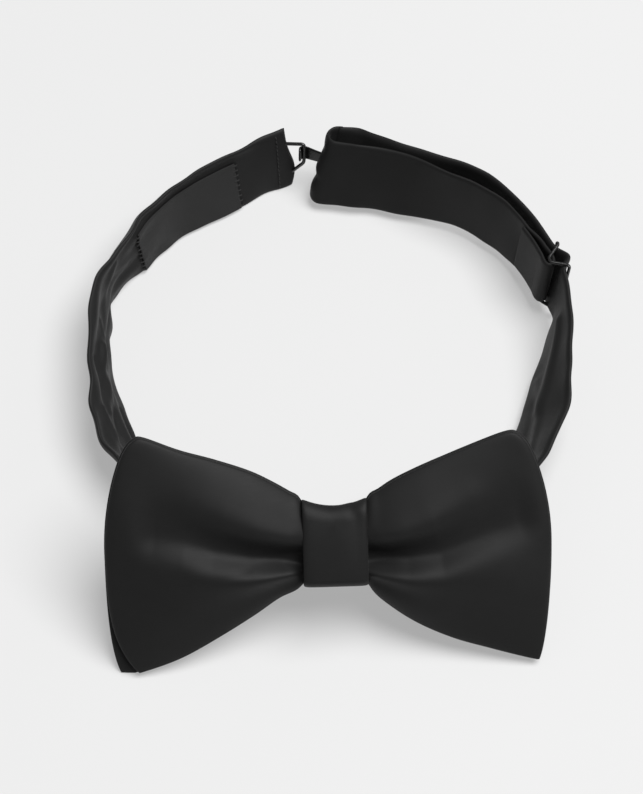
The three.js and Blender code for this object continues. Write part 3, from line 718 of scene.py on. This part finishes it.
BAND_MIDDLE = (BAND.lower + BAND.upper) / 2
SLIDER_RUN = run_at(BAND, SLIDER_ANGLE)  # where the strap bulges over the slider's middle bar
KNOT_RUN = BAND.run[np.linalg.norm(BAND_MIDDLE - on_bow([0, 0, CENTRE_DEPTH]), axis=1).argmin()]
BEHIND_KNOT = 9  # half of the stretch that lies behind the knot
SEAM_GAP = 0.2  # between two stretches of strap
CANVAS_THICK = 0.35
CANVAS_EDGE = 1  # by how much a canvas stays inside each edge of its strap
CLOSURE_END, KNOT_END, FOLD_END = 3, 2, 4  # and inside its ends
EYE_MIDDLE, EYE_SPREAD = 5.6, 6.5  # height of the eye's foot on the closure end, and of the bulge over it
EYE_BULGE, UPPER_BULGE = 2.3, -0.3  # how far the closure end is pushed out, there and at its upper edge


def fold_left(piece):
    """Bakes the placement of a piece of the left half into its mesh."""
    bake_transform(piece)


def end_bulge(across):
    """How far the closure end is pushed out over the foot of the eye."""
    return EYE_BULGE * bell(across * STRAP_WIDTH - EYE_MIDDLE, EYE_SPREAD) + UPPER_BULGE * across


def add_strap(name, start, end, body, *nodes, bulge=None):
    """A stretch of the satin strap."""
    piece = BAND.solid(name, (start, end), SATIN, bulge=bulge)
    finish(piece, body, "satin", *nodes)
    return piece


def add_canvas(name, start, end, body, *nodes):
    """The interlining inside a stretch of the strap, narrower than it."""
    heights = (CANVAS_EDGE, STRAP_WIDTH - CANVAS_EDGE)
    piece = BAND.solid(name, (start, end), CANVAS, CANVAS_THICK, heights)
    finish(piece, body, "interlining", *nodes)
    return piece


def add_left_half():
    end = KNOT_RUN - BEHIND_KNOT
    nodes = ("left_end_band", "left_side_band")
    strap = add_strap("left_strap", END_ROOM, end, None, *nodes, bulge=end_bulge)
    fold_left(strap)
    nodes = ("left_end_interlining", "left_side_interlining")
    canvas = add_canvas("left_canvas", END_ROOM + CLOSURE_END, end - KNOT_END, None, *nodes)
    fold_left(canvas)


def add_centre():
    start, end = KNOT_RUN - BEHIND_KNOT + SEAM_GAP, KNOT_RUN + BEHIND_KNOT - SEAM_GAP
    add_strap("centre_strap", start, end, "root", "band_centre")


def add_right_half():
    start, end = KNOT_RUN + BEHIND_KNOT, BAND.run[-1]
    add_strap("right_strap", start, end, "root", "right_band")
    add_canvas("right_canvas", start + KNOT_END, end - FOLD_END, "root", "right_interlining")


def add_return():
    piece = RETURN.solid("return_strap", (0, RETURN.run[-1]), SATIN, RETURN_THICK)
    finish(piece, None, "satin", "return_band", "tail_loop")
    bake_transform(piece)


add_left_half()
add_centre()
add_right_half()
add_return()


# The bow. Local x runs across it, y up its face and z out of its front.

# Insets are the shares of a wing's reach by which its corners lie further in, and powers how suddenly, in
# the order upper left, lower left, upper right and lower right.
FRONT = {"side": 1, "spread": 0.0, "crown": 5.4}
FRONT |= {"insets": (0.13, 0.122, 0.14, 0.05), "powers": (2.0, 3.4, 2.0, 2.2)}
REAR = {"side": -1, "spread": 0.3, "crown": 2.4}
REAR |= {"insets": (0.13, 0.045, 0.14, 0.055), "powers": (2.0, 3.2, 2.0, 2.2)}
ROUNDING = (1.8, 0.4)  # of the upper and the lower corners
LAYER_GAP = 0.25  # from the plane between the two layers to each of them
EDGE_THICK = 1.5
EDGE_POWER, END_POWER = 18, 50  # how tightly its long edges and its ends are rounded
DEEPEST = 0.9 - EDGE_THICK  # the lowest that a full face sinks in a valley
FULLNESS = [(0, 0.8), (0.15, 0.85), (0.3, 1.1), (0.5, 1.05), (0.8, 0.62), (1, 0.05)]  # along a wing
REAR_DENT = (1.4, 3.0)  # depth and half width of the rear layer's dent behind the knot
CANVAS_REACH = (0.955, 0.9)  # shares of a wing and of its height that its interlining fills

# For each wing: its reach, and its upper and lower edge as places along the bow and half heights there.
SHOULDER = [(0, 8.2), (6.8, 10.3), (8.8, 13.6)]
WAIST_EDGE = [(0, 7.6), (7.0, 7.9)]
LEFT_WING = {
    "reach": 57.6,
    "upper": SHOULDER + [(11, 15.0), (14, 16.9), (20, 20.2), (29, 23.6), (39, 26.8), (50.2, 32.0)],
    "lower": WAIST_EDGE + [(9.6, 10.2), (14, 12.3), (20, 16.4), (29, 22.0), (39, 27.5), (51.5, 32.1)],
}
RIGHT_WING = {
    "reach": 54.3,
    "upper": SHOULDER + [(11, 14.9), (14, 16.9), (20, 19.9), (29, 23.7), (39, 27.7), (47.2, 31.0)],
    "lower": WAIST_EDGE + [(9.6, 11.7), (14, 15.7), (20, 19.9), (29, 24.3), (39, 27.6), (51, 31.3)],
}

# Folds of the front layer: path, depth at both ends and half width at both ends.
FOLDS = [
    ([(-12, 4.2), (-22, 7.0), (-34, 11.5)], (0.9, 0.7), (3.0, 5.0)),
    ([(-9, -6.4), (-20.7, -10.6), (-31, -14.5)], (-1.4, -0.3), (1.8, 4.2)),
    ([(-11, -5.2), (-22.5, -6.2), (-34, -4.8)], (0.8, 0.4), (1.8, 4.0)),
    ([(-22, -3.4), (-29, -5.4)], (-0.3, -0.1), (0.9, 1.2)),
    ([(12, 4.0), (22, 7.0), (34, 12.5)], (0.9, 0.7), (3.0, 5.0)),
    ([(8.7, -6.0), (20, -7.4), (35.3, -8.2), (44, -7.8)], (0.8, 0.3), (1.8, 5.0)),
    ([(9, -7.2), (18, -11), (27, -15)], (-1.3, 0.0), (1.5, 3.6)),
]
# The two deep valleys beside the knot, which slope more gently above than below.
VALLEYS = [
    ([(-8.6, -2.2), (-20.8, -0.7), (-29.8, 1.4), (-37, 4.0), (-44, 5.4)], (-6.6, -2.8), (2.4, 5.2)),
    ([(8.4, -2.2), (18.2, -1.9), (26, -0.6), (32, 1.8), (38.5, 4.4), (45, 6.6)], (-6.4, -2.4), (2.4, 5.2)),
]
VALLEY_EASE = 1.7  # how much wider they are above than below


def through(points, value):
    """The height at each value of a smooth curve through points."""
    points = np.array(points, float)
    x, y = points[:, 0], points[:, 1]
    secant = np.diff(y) / np.diff(x)
    slope = np.concatenate([secant[:1], (secant[1:] + secant[:-1]) / 2, secant[-1:]])
    i = np.clip(np.searchsorted(x, value) - 1, 0, len(x) - 2)
    gap = x[i + 1] - x[i]
    t = np.clip((value - x[i]) / gap, 0, 1)
    return cubic(t, gap, y[i], y[i + 1], slope[i], slope[i + 1])


def bow_outline(s, q, layer):
    """A place in the bow's plane: s from -1 to 1 along it and q from -1 to 1 up it."""
    share, up = np.abs(s), np.abs(q)
    x, y = np.zeros(np.broadcast(s, q).shape), np.zeros(np.broadcast(s, q).shape)
    for k, (wing, here) in enumerate(((LEFT_WING, s < 0), (RIGHT_WING, s >= 0))):
        reach = wing["reach"] + layer["spread"]
        for j, (edge, part) in enumerate((("upper", q > 0), ("lower", q <= 0))):
            inset, power = layer["insets"][2 * k + j], layer["powers"][2 * k + j]
            cut = (share * up) ** 12 * ROUNDING[j]
            along = share * reach * (1 - inset * share * up**power) - cut
            high = through(wing[edge], share * reach * (1 - inset * share)) * up - cut
            chosen = here & part
            x = np.where(chosen, along * np.sign(s), x)
            y = np.where(chosen, high * np.sign(q), y)
    return x, y


def bow_relief(x, y, s, q, layer):
    """How far a layer's full face stands above its edge."""
    share = np.abs(s)
    across = 1 - np.abs(q) ** np.where(q > 0, 2.1, 1.8)
    relief = layer["crown"] * through(FULLNESS, share) * across
    waves = ripple(x, y, size=24, amount=0.16, seed=5 + layer["side"])
    relief = relief + waves * smoothstep(0.15, 0.4, share)
    if layer["side"] > 0:
        for fold in FOLDS:
            relief = relief + crease(x, y, *fold)
        for path, depth, width in VALLEYS:
            bed = np.interp(x, *np.array(sorted(path)).T)
            above = np.where(y > bed, VALLEY_EASE, 1.0)
            relief = relief + crease(x, bed + (y - bed) / above, path, depth, width)
    else:
        relief = relief - REAR_DENT[0] * bell(y, REAR_DENT[1]) * (1 - smoothstep(0.1, 0.6, share))
    return DEEPEST + np.logaddexp(0, (relief - DEEPEST) * 2) / 2


def rounded_off(share, power):
    """The thickness at a share of the way from the middle to an edge, with a round edge."""
    return np.sqrt(np.clip(1 - np.abs(share) ** power, 0, 1))


def bow_layer_points(layer, s, q, side):
    """Places on a layer: side is 1 on its full face and -1 on its flat one."""
    x, y = bow_outline(s, q, layer)
    rounding = rounded_off(q, EDGE_POWER) * rounded_off(s, END_POWER)
    relief = bow_relief(x, y, s, q, layer)
    middle = LAYER_GAP + EDGE_THICK / 2
    full = middle + (EDGE_THICK / 2 + relief) * rounding
    flat = middle - EDGE_THICK / 2 * rounding
    z = np.where(side > 0, full, flat)
    return np.stack([x, y, z * layer["side"]], axis=-1)


def add_bow_layer(name, layer, *nodes):
    face = eased(80) * (1 - 1e-6)
    q, side = there_and_back(face), there_and_back(np.ones(len(face)), -1)
    s = np.sin(np.linspace(-1, 1, 241) * math.pi / 2) * 0.9995
    points = bow_layer_points(layer, s[:, None], q[None], side[None])
    if layer["side"] < 0:
        points = points[:, ::-1]
    piece = make_tube(name, on_bow(points), points[..., :2], SATIN)
    finish(piece, "root", "satin", *nodes)


def add_bow_canvas(name, layer, node):
    """A thin sheet of interlining inside a layer, a little smaller than it."""
    s, q = [np.linspace(-reach, reach, count) for reach, count in zip(CANVAS_REACH, (81, 31))]
    x, y = bow_outline(s[:, None], q[None], layer)
    levels = np.array([LAYER_GAP + CANVAS_THICK, LAYER_GAP + 2 * CANVAS_THICK]) * layer["side"]
    inner, outer = [np.stack([x, y, np.full(x.shape, level)], axis=-1) for level in levels]
    rows = np.concatenate([outer, inner[:, -2:0:-1]], axis=1)
    if layer["side"] < 0:
        rows = rows[:, ::-1]
    piece = make_tube(name, on_bow(rows), rows[..., :2], CANVAS)
    finish(piece, "root", "interlining", node)


add_bow_layer("front_bow_satin", FRONT, "front_bow_cover")
add_bow_layer("rear_bow_satin", REAR, "rear_bow_cover")
add_bow_canvas("front_bow_canvas", FRONT, "front_bow_interlining")
add_bow_canvas("rear_bow_canvas", REAR, "rear_bow_interlining")


# The knot

KNOT_WALL = 0.9
KNOT_CANVAS, KNOT_CANVAS_LENGTH = 0.4, KNOT_LENGTH - 1.2
KNOT_CANVAS_GAP = 0.15
FRONT_ROUND, REAR_ROUND = 3.6, 2.4  # radii of the knot's corners
TOP_RAISE = (-0.8, 2.3)  # how much the cloth's top is raised at its back and at its front
TILT = 0.11  # how much the front lies back towards its top
WAIST = 1.9  # how far the knot's top dips between its corners
LIFT = 2.8  # how much the cloth's lower front edge is drawn up
PINCH_TURNS, PINCH_THREAD = 3, 0.3  # turns of the winding under the knot, and its thread's radius
PINCH_HEIGHT, PINCH_DEPTH, PINCH_OUT = 8.1, 4.9, 0.2  # half its height and depth, and its middle's place
SEAM_AT = KNOT_REAR / 2 - 0.8  # depth of the knot's seam
# A stitch of the knot's seam: along the seam, across it and out of the cloth.
SEAM_STITCH = [(0, -1.1, -0.1), (0.1, -0.9, 0.1), (0.35, 0, 0.14), (0.6, 0.9, 0.1), (0.7, 1.1, -0.1)]
KNOT_LINE = ([(3, 12), (7.5, 5)], (0.5, 0.2), (0.8, 1.2))  # a slack line across its upper right corner


def knot_outline(offset):
    """The knot's closed outline in height and depth, an offset inwards: round corners joined by flats."""
    top, front, rear = KNOT_HALF_HEIGHT - offset, KNOT_FACE - offset, KNOT_REAR + offset
    front_round, rear_round = FRONT_ROUND - offset, REAR_ROUND - offset
    corners = [
        (top - front_round, front - front_round, front_round, 0),
        (front_round - top, front - front_round, front_round, 90),
        (rear_round - top, rear + rear_round, rear_round, 180),
        (top - rear_round, rear + rear_round, rear_round, 270),
    ]
    points = []
    for y, z, radius, start in corners:
        for turn in np.radians(np.linspace(start, start + 90, 8)):
            points.append((y + radius * math.cos(turn), z + radius * math.sin(turn)))
    return np.array(points)


def knot_lift(z):
    """How much the knot's underside is drawn up, more towards its front."""
    return LIFT * smoothstep(-7, 0, z)


def knot_dip(a, y, z):
    """How much lower the cloth lies than its outline, at a share of its length from -1 to 1."""
    top = WAIST * (1 - a * a) - np.interp(z, [-6, 3.5], TOP_RAISE)
    under = knot_lift(z) * smoothstep(-3, -KNOT_HALF_HEIGHT, y)
    return top * smoothstep(2, KNOT_HALF_HEIGHT, y) - under


def knot_roll(a, x, y, z):
    """How much further in the cloth lies than its outline: round at its ends, and leaning back."""
    ends = 0.4 * np.abs(a) ** 6 * smoothstep(-2, 4, z)
    return ends + crease(x, y, *KNOT_LINE) + TILT * y * (z > 0)


def add_knot_ring(name, offset, wall, reach, material):
    """A band of cloth round the knot: outlines along its outer face and back along its inner one."""
    across = eased(20)
    level = 0.5 * rounded_off(across, EDGE_POWER)
    rows = []
    for a, depth in zip(there_and_back(across), 0.5 - there_and_back(level, -1)):
        y, z = knot_outline(offset + depth * wall).T
        x = np.full(len(y), a * reach)
        rows.append(np.stack([x, y - knot_dip(a, y, z), z - knot_roll(a, x, y, z)], axis=-1))
    points = np.array(rows).transpose(1, 0, 2)
    around = lengths(points[:, 0])
    uvs = np.stack([points[..., 0], np.broadcast_to(around[:, None], points.shape[:2])], axis=-1)
    return make_tube(name, on_bow(points), uvs, material, capped=False)


def add_knot():
    wrap = add_knot_ring("knot_satin", 0, KNOT_WALL, KNOT_LENGTH / 2, SATIN)
    finish(wrap, "root", "satin", "knot_wrap")
    offset, reach = KNOT_WALL + KNOT_CANVAS_GAP, KNOT_CANVAS_LENGTH / 2
    canvas = add_knot_ring("knot_canvas", offset, KNOT_CANVAS, reach, CANVAS)
    finish(canvas, "root", "interlining", "knot_interlining")


def add_pinch_thread():
    """The thread wound round the bow's middle, under the knot."""
    turn = np.linspace(0, PINCH_TURNS * 2 * math.pi, PINCH_TURNS * 48)
    c, d = np.cos(turn), np.sin(turn)
    square = (c**4 + d**4) ** -0.25  # a rounded rectangle rather than an ellipse
    x = (turn / (2 * math.pi) - PINCH_TURNS / 2) * 3 * PINCH_THREAD
    y, z = PINCH_HEIGHT * c * square, PINCH_OUT + PINCH_DEPTH * d * square
    line = on_bow(np.stack([x, y, z], axis=-1))
    add_threads("pinch_winding", [line], "root", "pinch_thread", PINCH_THREAD)


def add_knot_seam():
    """The stitches that close the knot, on its underside."""
    along, over, out = np.array(SEAM_STITCH).T
    under = knot_lift(SEAM_AT + over) - KNOT_HALF_HEIGHT - out
    starts = np.arange(-7, 6.6, 1.4)
    stitches = [on_bow(np.stack([x + along, under, SEAM_AT + over], axis=-1)) for x in starts]
    add_threads("knot_seam", stitches, "root", "knot_seam_thread")


add_knot()
add_pinch_thread()
add_knot_seam()


# The label on the inner face of the left band, and the stitches on the straps

LABEL_ANGLES = (23.5, 57)
LABEL_LOW, LABEL_HIGH = 0.6, 15.6  # heights on the strap
LABEL_THICK = 0.5
LABEL_GAP = 0.08  # between it and the strap
STRAP_FACE = STRAP_THICK / 2
LABEL_SEAM, TAIL_SEAM, EYE_SEAM = (1.5, 0.25), (2.0, 0.3), (0.2, 0.9)  # their stitches along and up
EYE_SEAM_RUN = END_ROOM + 3.2  # where the closure end is sewn down behind the eye's leg
# A stitch: shares of its length, and heights over the face there.
STITCH = [(0, -0.12), (0.12, 0.12), (0.5, 0.2), (0.88, 0.12), (1, -0.12)]


def stitch(strap, run, high, reach, depth, face):
    """A short stitch on a face of a strap. Reach is how far it goes along the strap and up it."""
    shares, lift = np.array(STITCH).T
    runs = run + (shares - 0.5) * reach[0]
    highs = (high + (shares - 0.5) * reach[1]) / STRAP_WIDTH
    return strap.point(runs, highs, face * (depth + lift))


def seam_heights(count, low=0.0, high=STRAP_WIDTH, margin=1.6):
    """Heights of evenly spaced stitches, with a margin left at both edges."""
    return np.linspace(low + margin, high - margin, count)


def add_label():
    runs = [run_at(BAND, a) for a in LABEL_ANGLES]
    depth = -(STRAP_FACE + LABEL_THICK / 2 + LABEL_GAP)
    label = BAND.solid("label_cloth", runs, LABEL, LABEL_THICK, (LABEL_LOW, LABEL_HIGH), depth)
    finish(label, "left_band", "label", "label")
    face = STRAP_FACE + LABEL_THICK * 0.75
    heights = seam_heights(9, LABEL_LOW, LABEL_HIGH, margin=0.7)
    nodes = ("label_stitches_closure_end", "label_stitches_bow_end")
    for name, node, run in zip(("label_seam_closure", "label_seam_bow"), nodes, runs):
        lines = [stitch(BAND, run, high, LABEL_SEAM, face, -1) for high in heights]
        add_threads(name, lines, "left_band", node)


def add_tail_seam():
    run, face = RETURN.run[-1] - 0.2, RETURN_THICK / 2 + 0.05
    lines = [stitch(RETURN, run, high, TAIL_SEAM, face, 1) for high in seam_heights(12)]
    add_threads("tail_seam", lines, "slider", "tail_stitches")


add_label()
add_tail_seam()


# Hook, eye and slider

HOOK_ORIGIN = np.array(JOINTS["hook_swing"]["pos_m"]) / MM
HOOK_UP = -np.array(JOINTS["hook_swing"]["axis"])
HOOK_ALONG = unit(np.cross(outward(FOLD_ANGLE), [0, 0, -1.0]))
HOOK_OUT = np.cross(HOOK_ALONG, HOOK_UP)
HOOK_LOWERED = 1.7  # how much lower than the CAD hook it sits on its bar
HOOK_BAR = (4.2, 0.8)  # half length and radius
# The hook from above, along the strap and out from it: its shank, then its curl.
SHANK = [(-0.2, 0.0), (0.5, 0.05), (1.6, 0.5), (3.5, 1.45), (5.4, 2.45), (7.0, 3.4)]
CURL = np.array([8.2, 2.6])  # its centre
CURL_RADIUS = 1.25
CURL_TURN = (104, -50)  # degrees
PLATE = 0.6
HOOK_WIDTHS = [5.0, 3.0, 4.2, 3.8, 3.0]  # at its bar, on its shank, and before, beside and at its tip

EYE_WIRE = 0.5
EYE_HEIGHTS = (-2.5, 3.3)  # of the leg that the hook holds, from the hook's middle
EYE_FEET = [(0.8, 14.6), (-1.0, 4.2)]  # run and height of the leg inside the closure end

SLIDER_WIRE = 0.45
SLIDER_REACH = STRAP_WIDTH / 2 + 0.5  # of its rails from its middle
RAIL_ENDS = [(-4.0, 1.6), (-3.2, 1.6), (4.0, 1.4), (4.8, 1.4)]  # along the strap and out of it
RAIL_DIPS = (0.5, 2.4)  # how far the upper and the lower rail lie further in at the middle bar


def add_metal(name, shell, body, node):
    """A metal piece from a shell of points, faces and uvs."""
    points, faces, uvs = shell
    finish(make_piece(name, points, faces, METAL, uvs), body, "black_metal", node)


def on_hook(x, y, z):
    """Places measured from the hook's bar: along the strap, up it and out from it."""
    return HOOK_ORIGIN + x * HOOK_ALONG + (y - HOOK_LOWERED) * HOOK_UP + z * HOOK_OUT


def plate_shell(path, widths):
    """The hook's plate: a strip of metal with soft edges, bent along a path."""
    path = np.array(path, float)
    way = unit(np.gradient(path, axis=0))
    side = np.stack([-way[:, 1], way[:, 0]], axis=-1)
    turn = np.linspace(0, 2 * math.pi, 48, endpoint=False)
    across = np.sign(np.cos(turn)) * np.abs(np.cos(turn)) ** 0.3
    depth = np.sign(np.sin(turn)) * np.abs(np.sin(turn)) ** 0.5
    scales = np.ones(len(path))
    scales[[0, -1]] = 0.55
    scales[[1, -2]] = 0.9
    points = []
    for spot, out, width, scale in zip(path, side, widths, scales):
        half = width / 2 - (1 - scale) * PLATE / 2
        for a, d in zip(across, depth):
            x, z = spot + out * d * scale * PLATE / 2
            points.append(on_hook(x, a * half, z))
    uvs = np.zeros((len(points), 2))
    return np.array(points), tube_faces(len(path), len(turn)), uvs


def add_hook():
    turns = np.radians(np.linspace(*CURL_TURN, 20))
    curl = CURL + CURL_RADIUS * np.stack([np.cos(turns), np.sin(turns)], axis=-1)
    path = smooth(np.concatenate([SHANK, curl]), step=0.22)
    run = lengths(path)
    tip = run[-1]
    widths = np.interp(run, [0, 2.5, tip - 1.4, tip - 0.4, tip], HOOK_WIDTHS)
    reach, radius = HOOK_BAR
    bar = tube([on_hook(0, y, 0) for y in np.linspace(-reach, reach, 24)], radius, sides=20)
    add_metal("hook_plate", merged([plate_shell(path, widths), bar]), "hook", "hook")


def wire_ring(corners, reach, step=0.5):
    """A closed path through corners, each turned in a short curve, with points about a step apart."""
    path = []
    for i, corner in enumerate(corners):
        a = corner + unit(corners[i - 1] - corner) * reach
        b = corner + unit(corners[(i + 1) % len(corners)] - corner) * reach
        for t in np.linspace(0, 1, 9):
            path.append((1 - t) ** 2 * a + 2 * t * (1 - t) * corner + t * t * b)
    rows = []
    for a, b in zip(path, path[1:] + path[:1]):
        pieces = max(1, int(np.linalg.norm(b - a) / step))
        rows += [a + (b - a) * k / pieces for k in range(pieces)]
    return np.array(rows)


def add_eye():
    """A closed loop of wire: one leg inside the hook's curl and one inside the closure end."""
    caught = [on_hook(CURL[0], high, CURL[1]) for high in EYE_HEIGHTS]
    feet = [BAND.point(END_ROOM + run, high / STRAP_WIDTH, 0.0) for run, high in EYE_FEET]
    ring = wire_ring([*caught, *feet], reach=1.0)
    add_metal("eye_wire", tube(ring, EYE_WIRE, sides=14, closed=True), "left_band", "eye")
    lines = []
    for high in seam_heights(13):
        for face in (-1, 1):
            lines.append(stitch(BAND, EYE_SEAM_RUN, high, EYE_SEAM, STRAP_FACE, face))
    add_threads("eye_seam", lines, "left_band", "eye_stitches")


def add_slider():
    """A ring of wire with a middle bar. Its rails dip to the bar, which lies under the strap."""
    lower, upper = ARC[:3], ARC[3:]
    up = unit(upper - lower)
    out = outward(SLIDER_ANGLE)
    along = np.array([-out[1], out[0], 0])
    normal = np.cross(along, up)

    def place(x, y, z):
        return (lower + upper) / 2 + x * along + y * up + z * normal

    rail = [*RAIL_ENDS[:2], (-0.7, -SLIDER_DROP), (0.7, -SLIDER_DROP), *RAIL_ENDS[2:]]
    top, bottom = SLIDER_REACH - RAIL_DIPS[0], RAIL_DIPS[1] - SLIDER_REACH  # the middle bar's ends
    ring = [place(x, SLIDER_REACH if z > 0 else top, z) for x, z in rail]
    ring += [place(x, -SLIDER_REACH if z > 0 else bottom, z) for x, z in rail[::-1]]
    bar = [place(0, y, -SLIDER_DROP) for y in np.linspace(bottom, top, 40)]
    outer = tube(wire_ring(ring, reach=0.55), SLIDER_WIRE, sides=14, closed=True)
    inner = tube(bar, SLIDER_WIRE, sides=14)
    add_metal("slider_buckle", merged([outer, inner]), "slider", "slider_frame")


add_hook()
add_eye()
add_slider()


# Camera, light and floor

CAMERA_TARGET = (-2.5, 4.2, 0)
CAMERA_ELEVATION = 57  # degrees
CAMERA_DISTANCE = 0.8  # metres
LENS, SENSOR = 134.9, 36
FLOOR_REACH = 4000
FLOOR_GAP = 0.2  # the part stands just clear of the floor


def add_camera():
    elevation = math.radians(CAMERA_ELEVATION)
    back = Vector((0, -math.cos(elevation), math.sin(elevation))) * CAMERA_DISTANCE
    data = bpy.data.cameras.new("camera")
    data.sensor_width = SENSOR
    data.lens = LENS
    data.clip_start, data.clip_end = 0.05, 20
    camera = bpy.data.objects.new("camera", data)
    camera.location = Vector(CAMERA_TARGET) * MM + back
    camera.rotation_euler = (math.pi / 2 - elevation, 0, 0)
    bpy.context.scene.collection.objects.link(camera)
    bpy.context.scene.camera = camera


def add_light(name, place, size, power):
    """A round soft light that shines on the part."""
    data = bpy.data.lights.new(name, "AREA")
    data.shape = "DISK"
    data.size = size
    data.energy = power
    light = bpy.data.objects.new(name, data)
    light.location = place
    light.rotation_euler = Vector(place).to_track_quat("Z", "Y").to_euler()
    bpy.context.scene.collection.objects.link(light)


def add_world(level):
    world = bpy.data.worlds.new("studio")
    world.use_nodes = True
    world.node_tree.nodes["Background"].inputs["Color"].default_value = grey(1)
    world.node_tree.nodes["Background"].inputs["Strength"].default_value = level
    bpy.context.scene.world = world


def add_floor():
    n = Nodes("floor")
    mottle = n.noise(n.add("ShaderNodeTexCoord").outputs["Object"], 3.0)
    n.set(Base_Color=n.ramp(mottle, grey(0.29), grey(0.31)), Roughness=0.9, Specular_IOR_Level=0.1)
    n.set(Emission_Strength=0.37, Emission_Color=grey(1))
    signs = ((-1, -1), (1, -1), (1, 1), (-1, 1))
    corners = [(x * FLOOR_REACH, y * FLOOR_REACH, -FLOOR_GAP) for x, y in signs]
    make_piece("floor", corners, [(0, 1, 2, 3)], n.material)


add_camera()
add_world(level=0.2)
add_light("overhead", (0.7, 0.0, 2.1), size=1.6, power=84)
add_floor()
bpy.context.scene.view_settings.view_transform = "Standard"
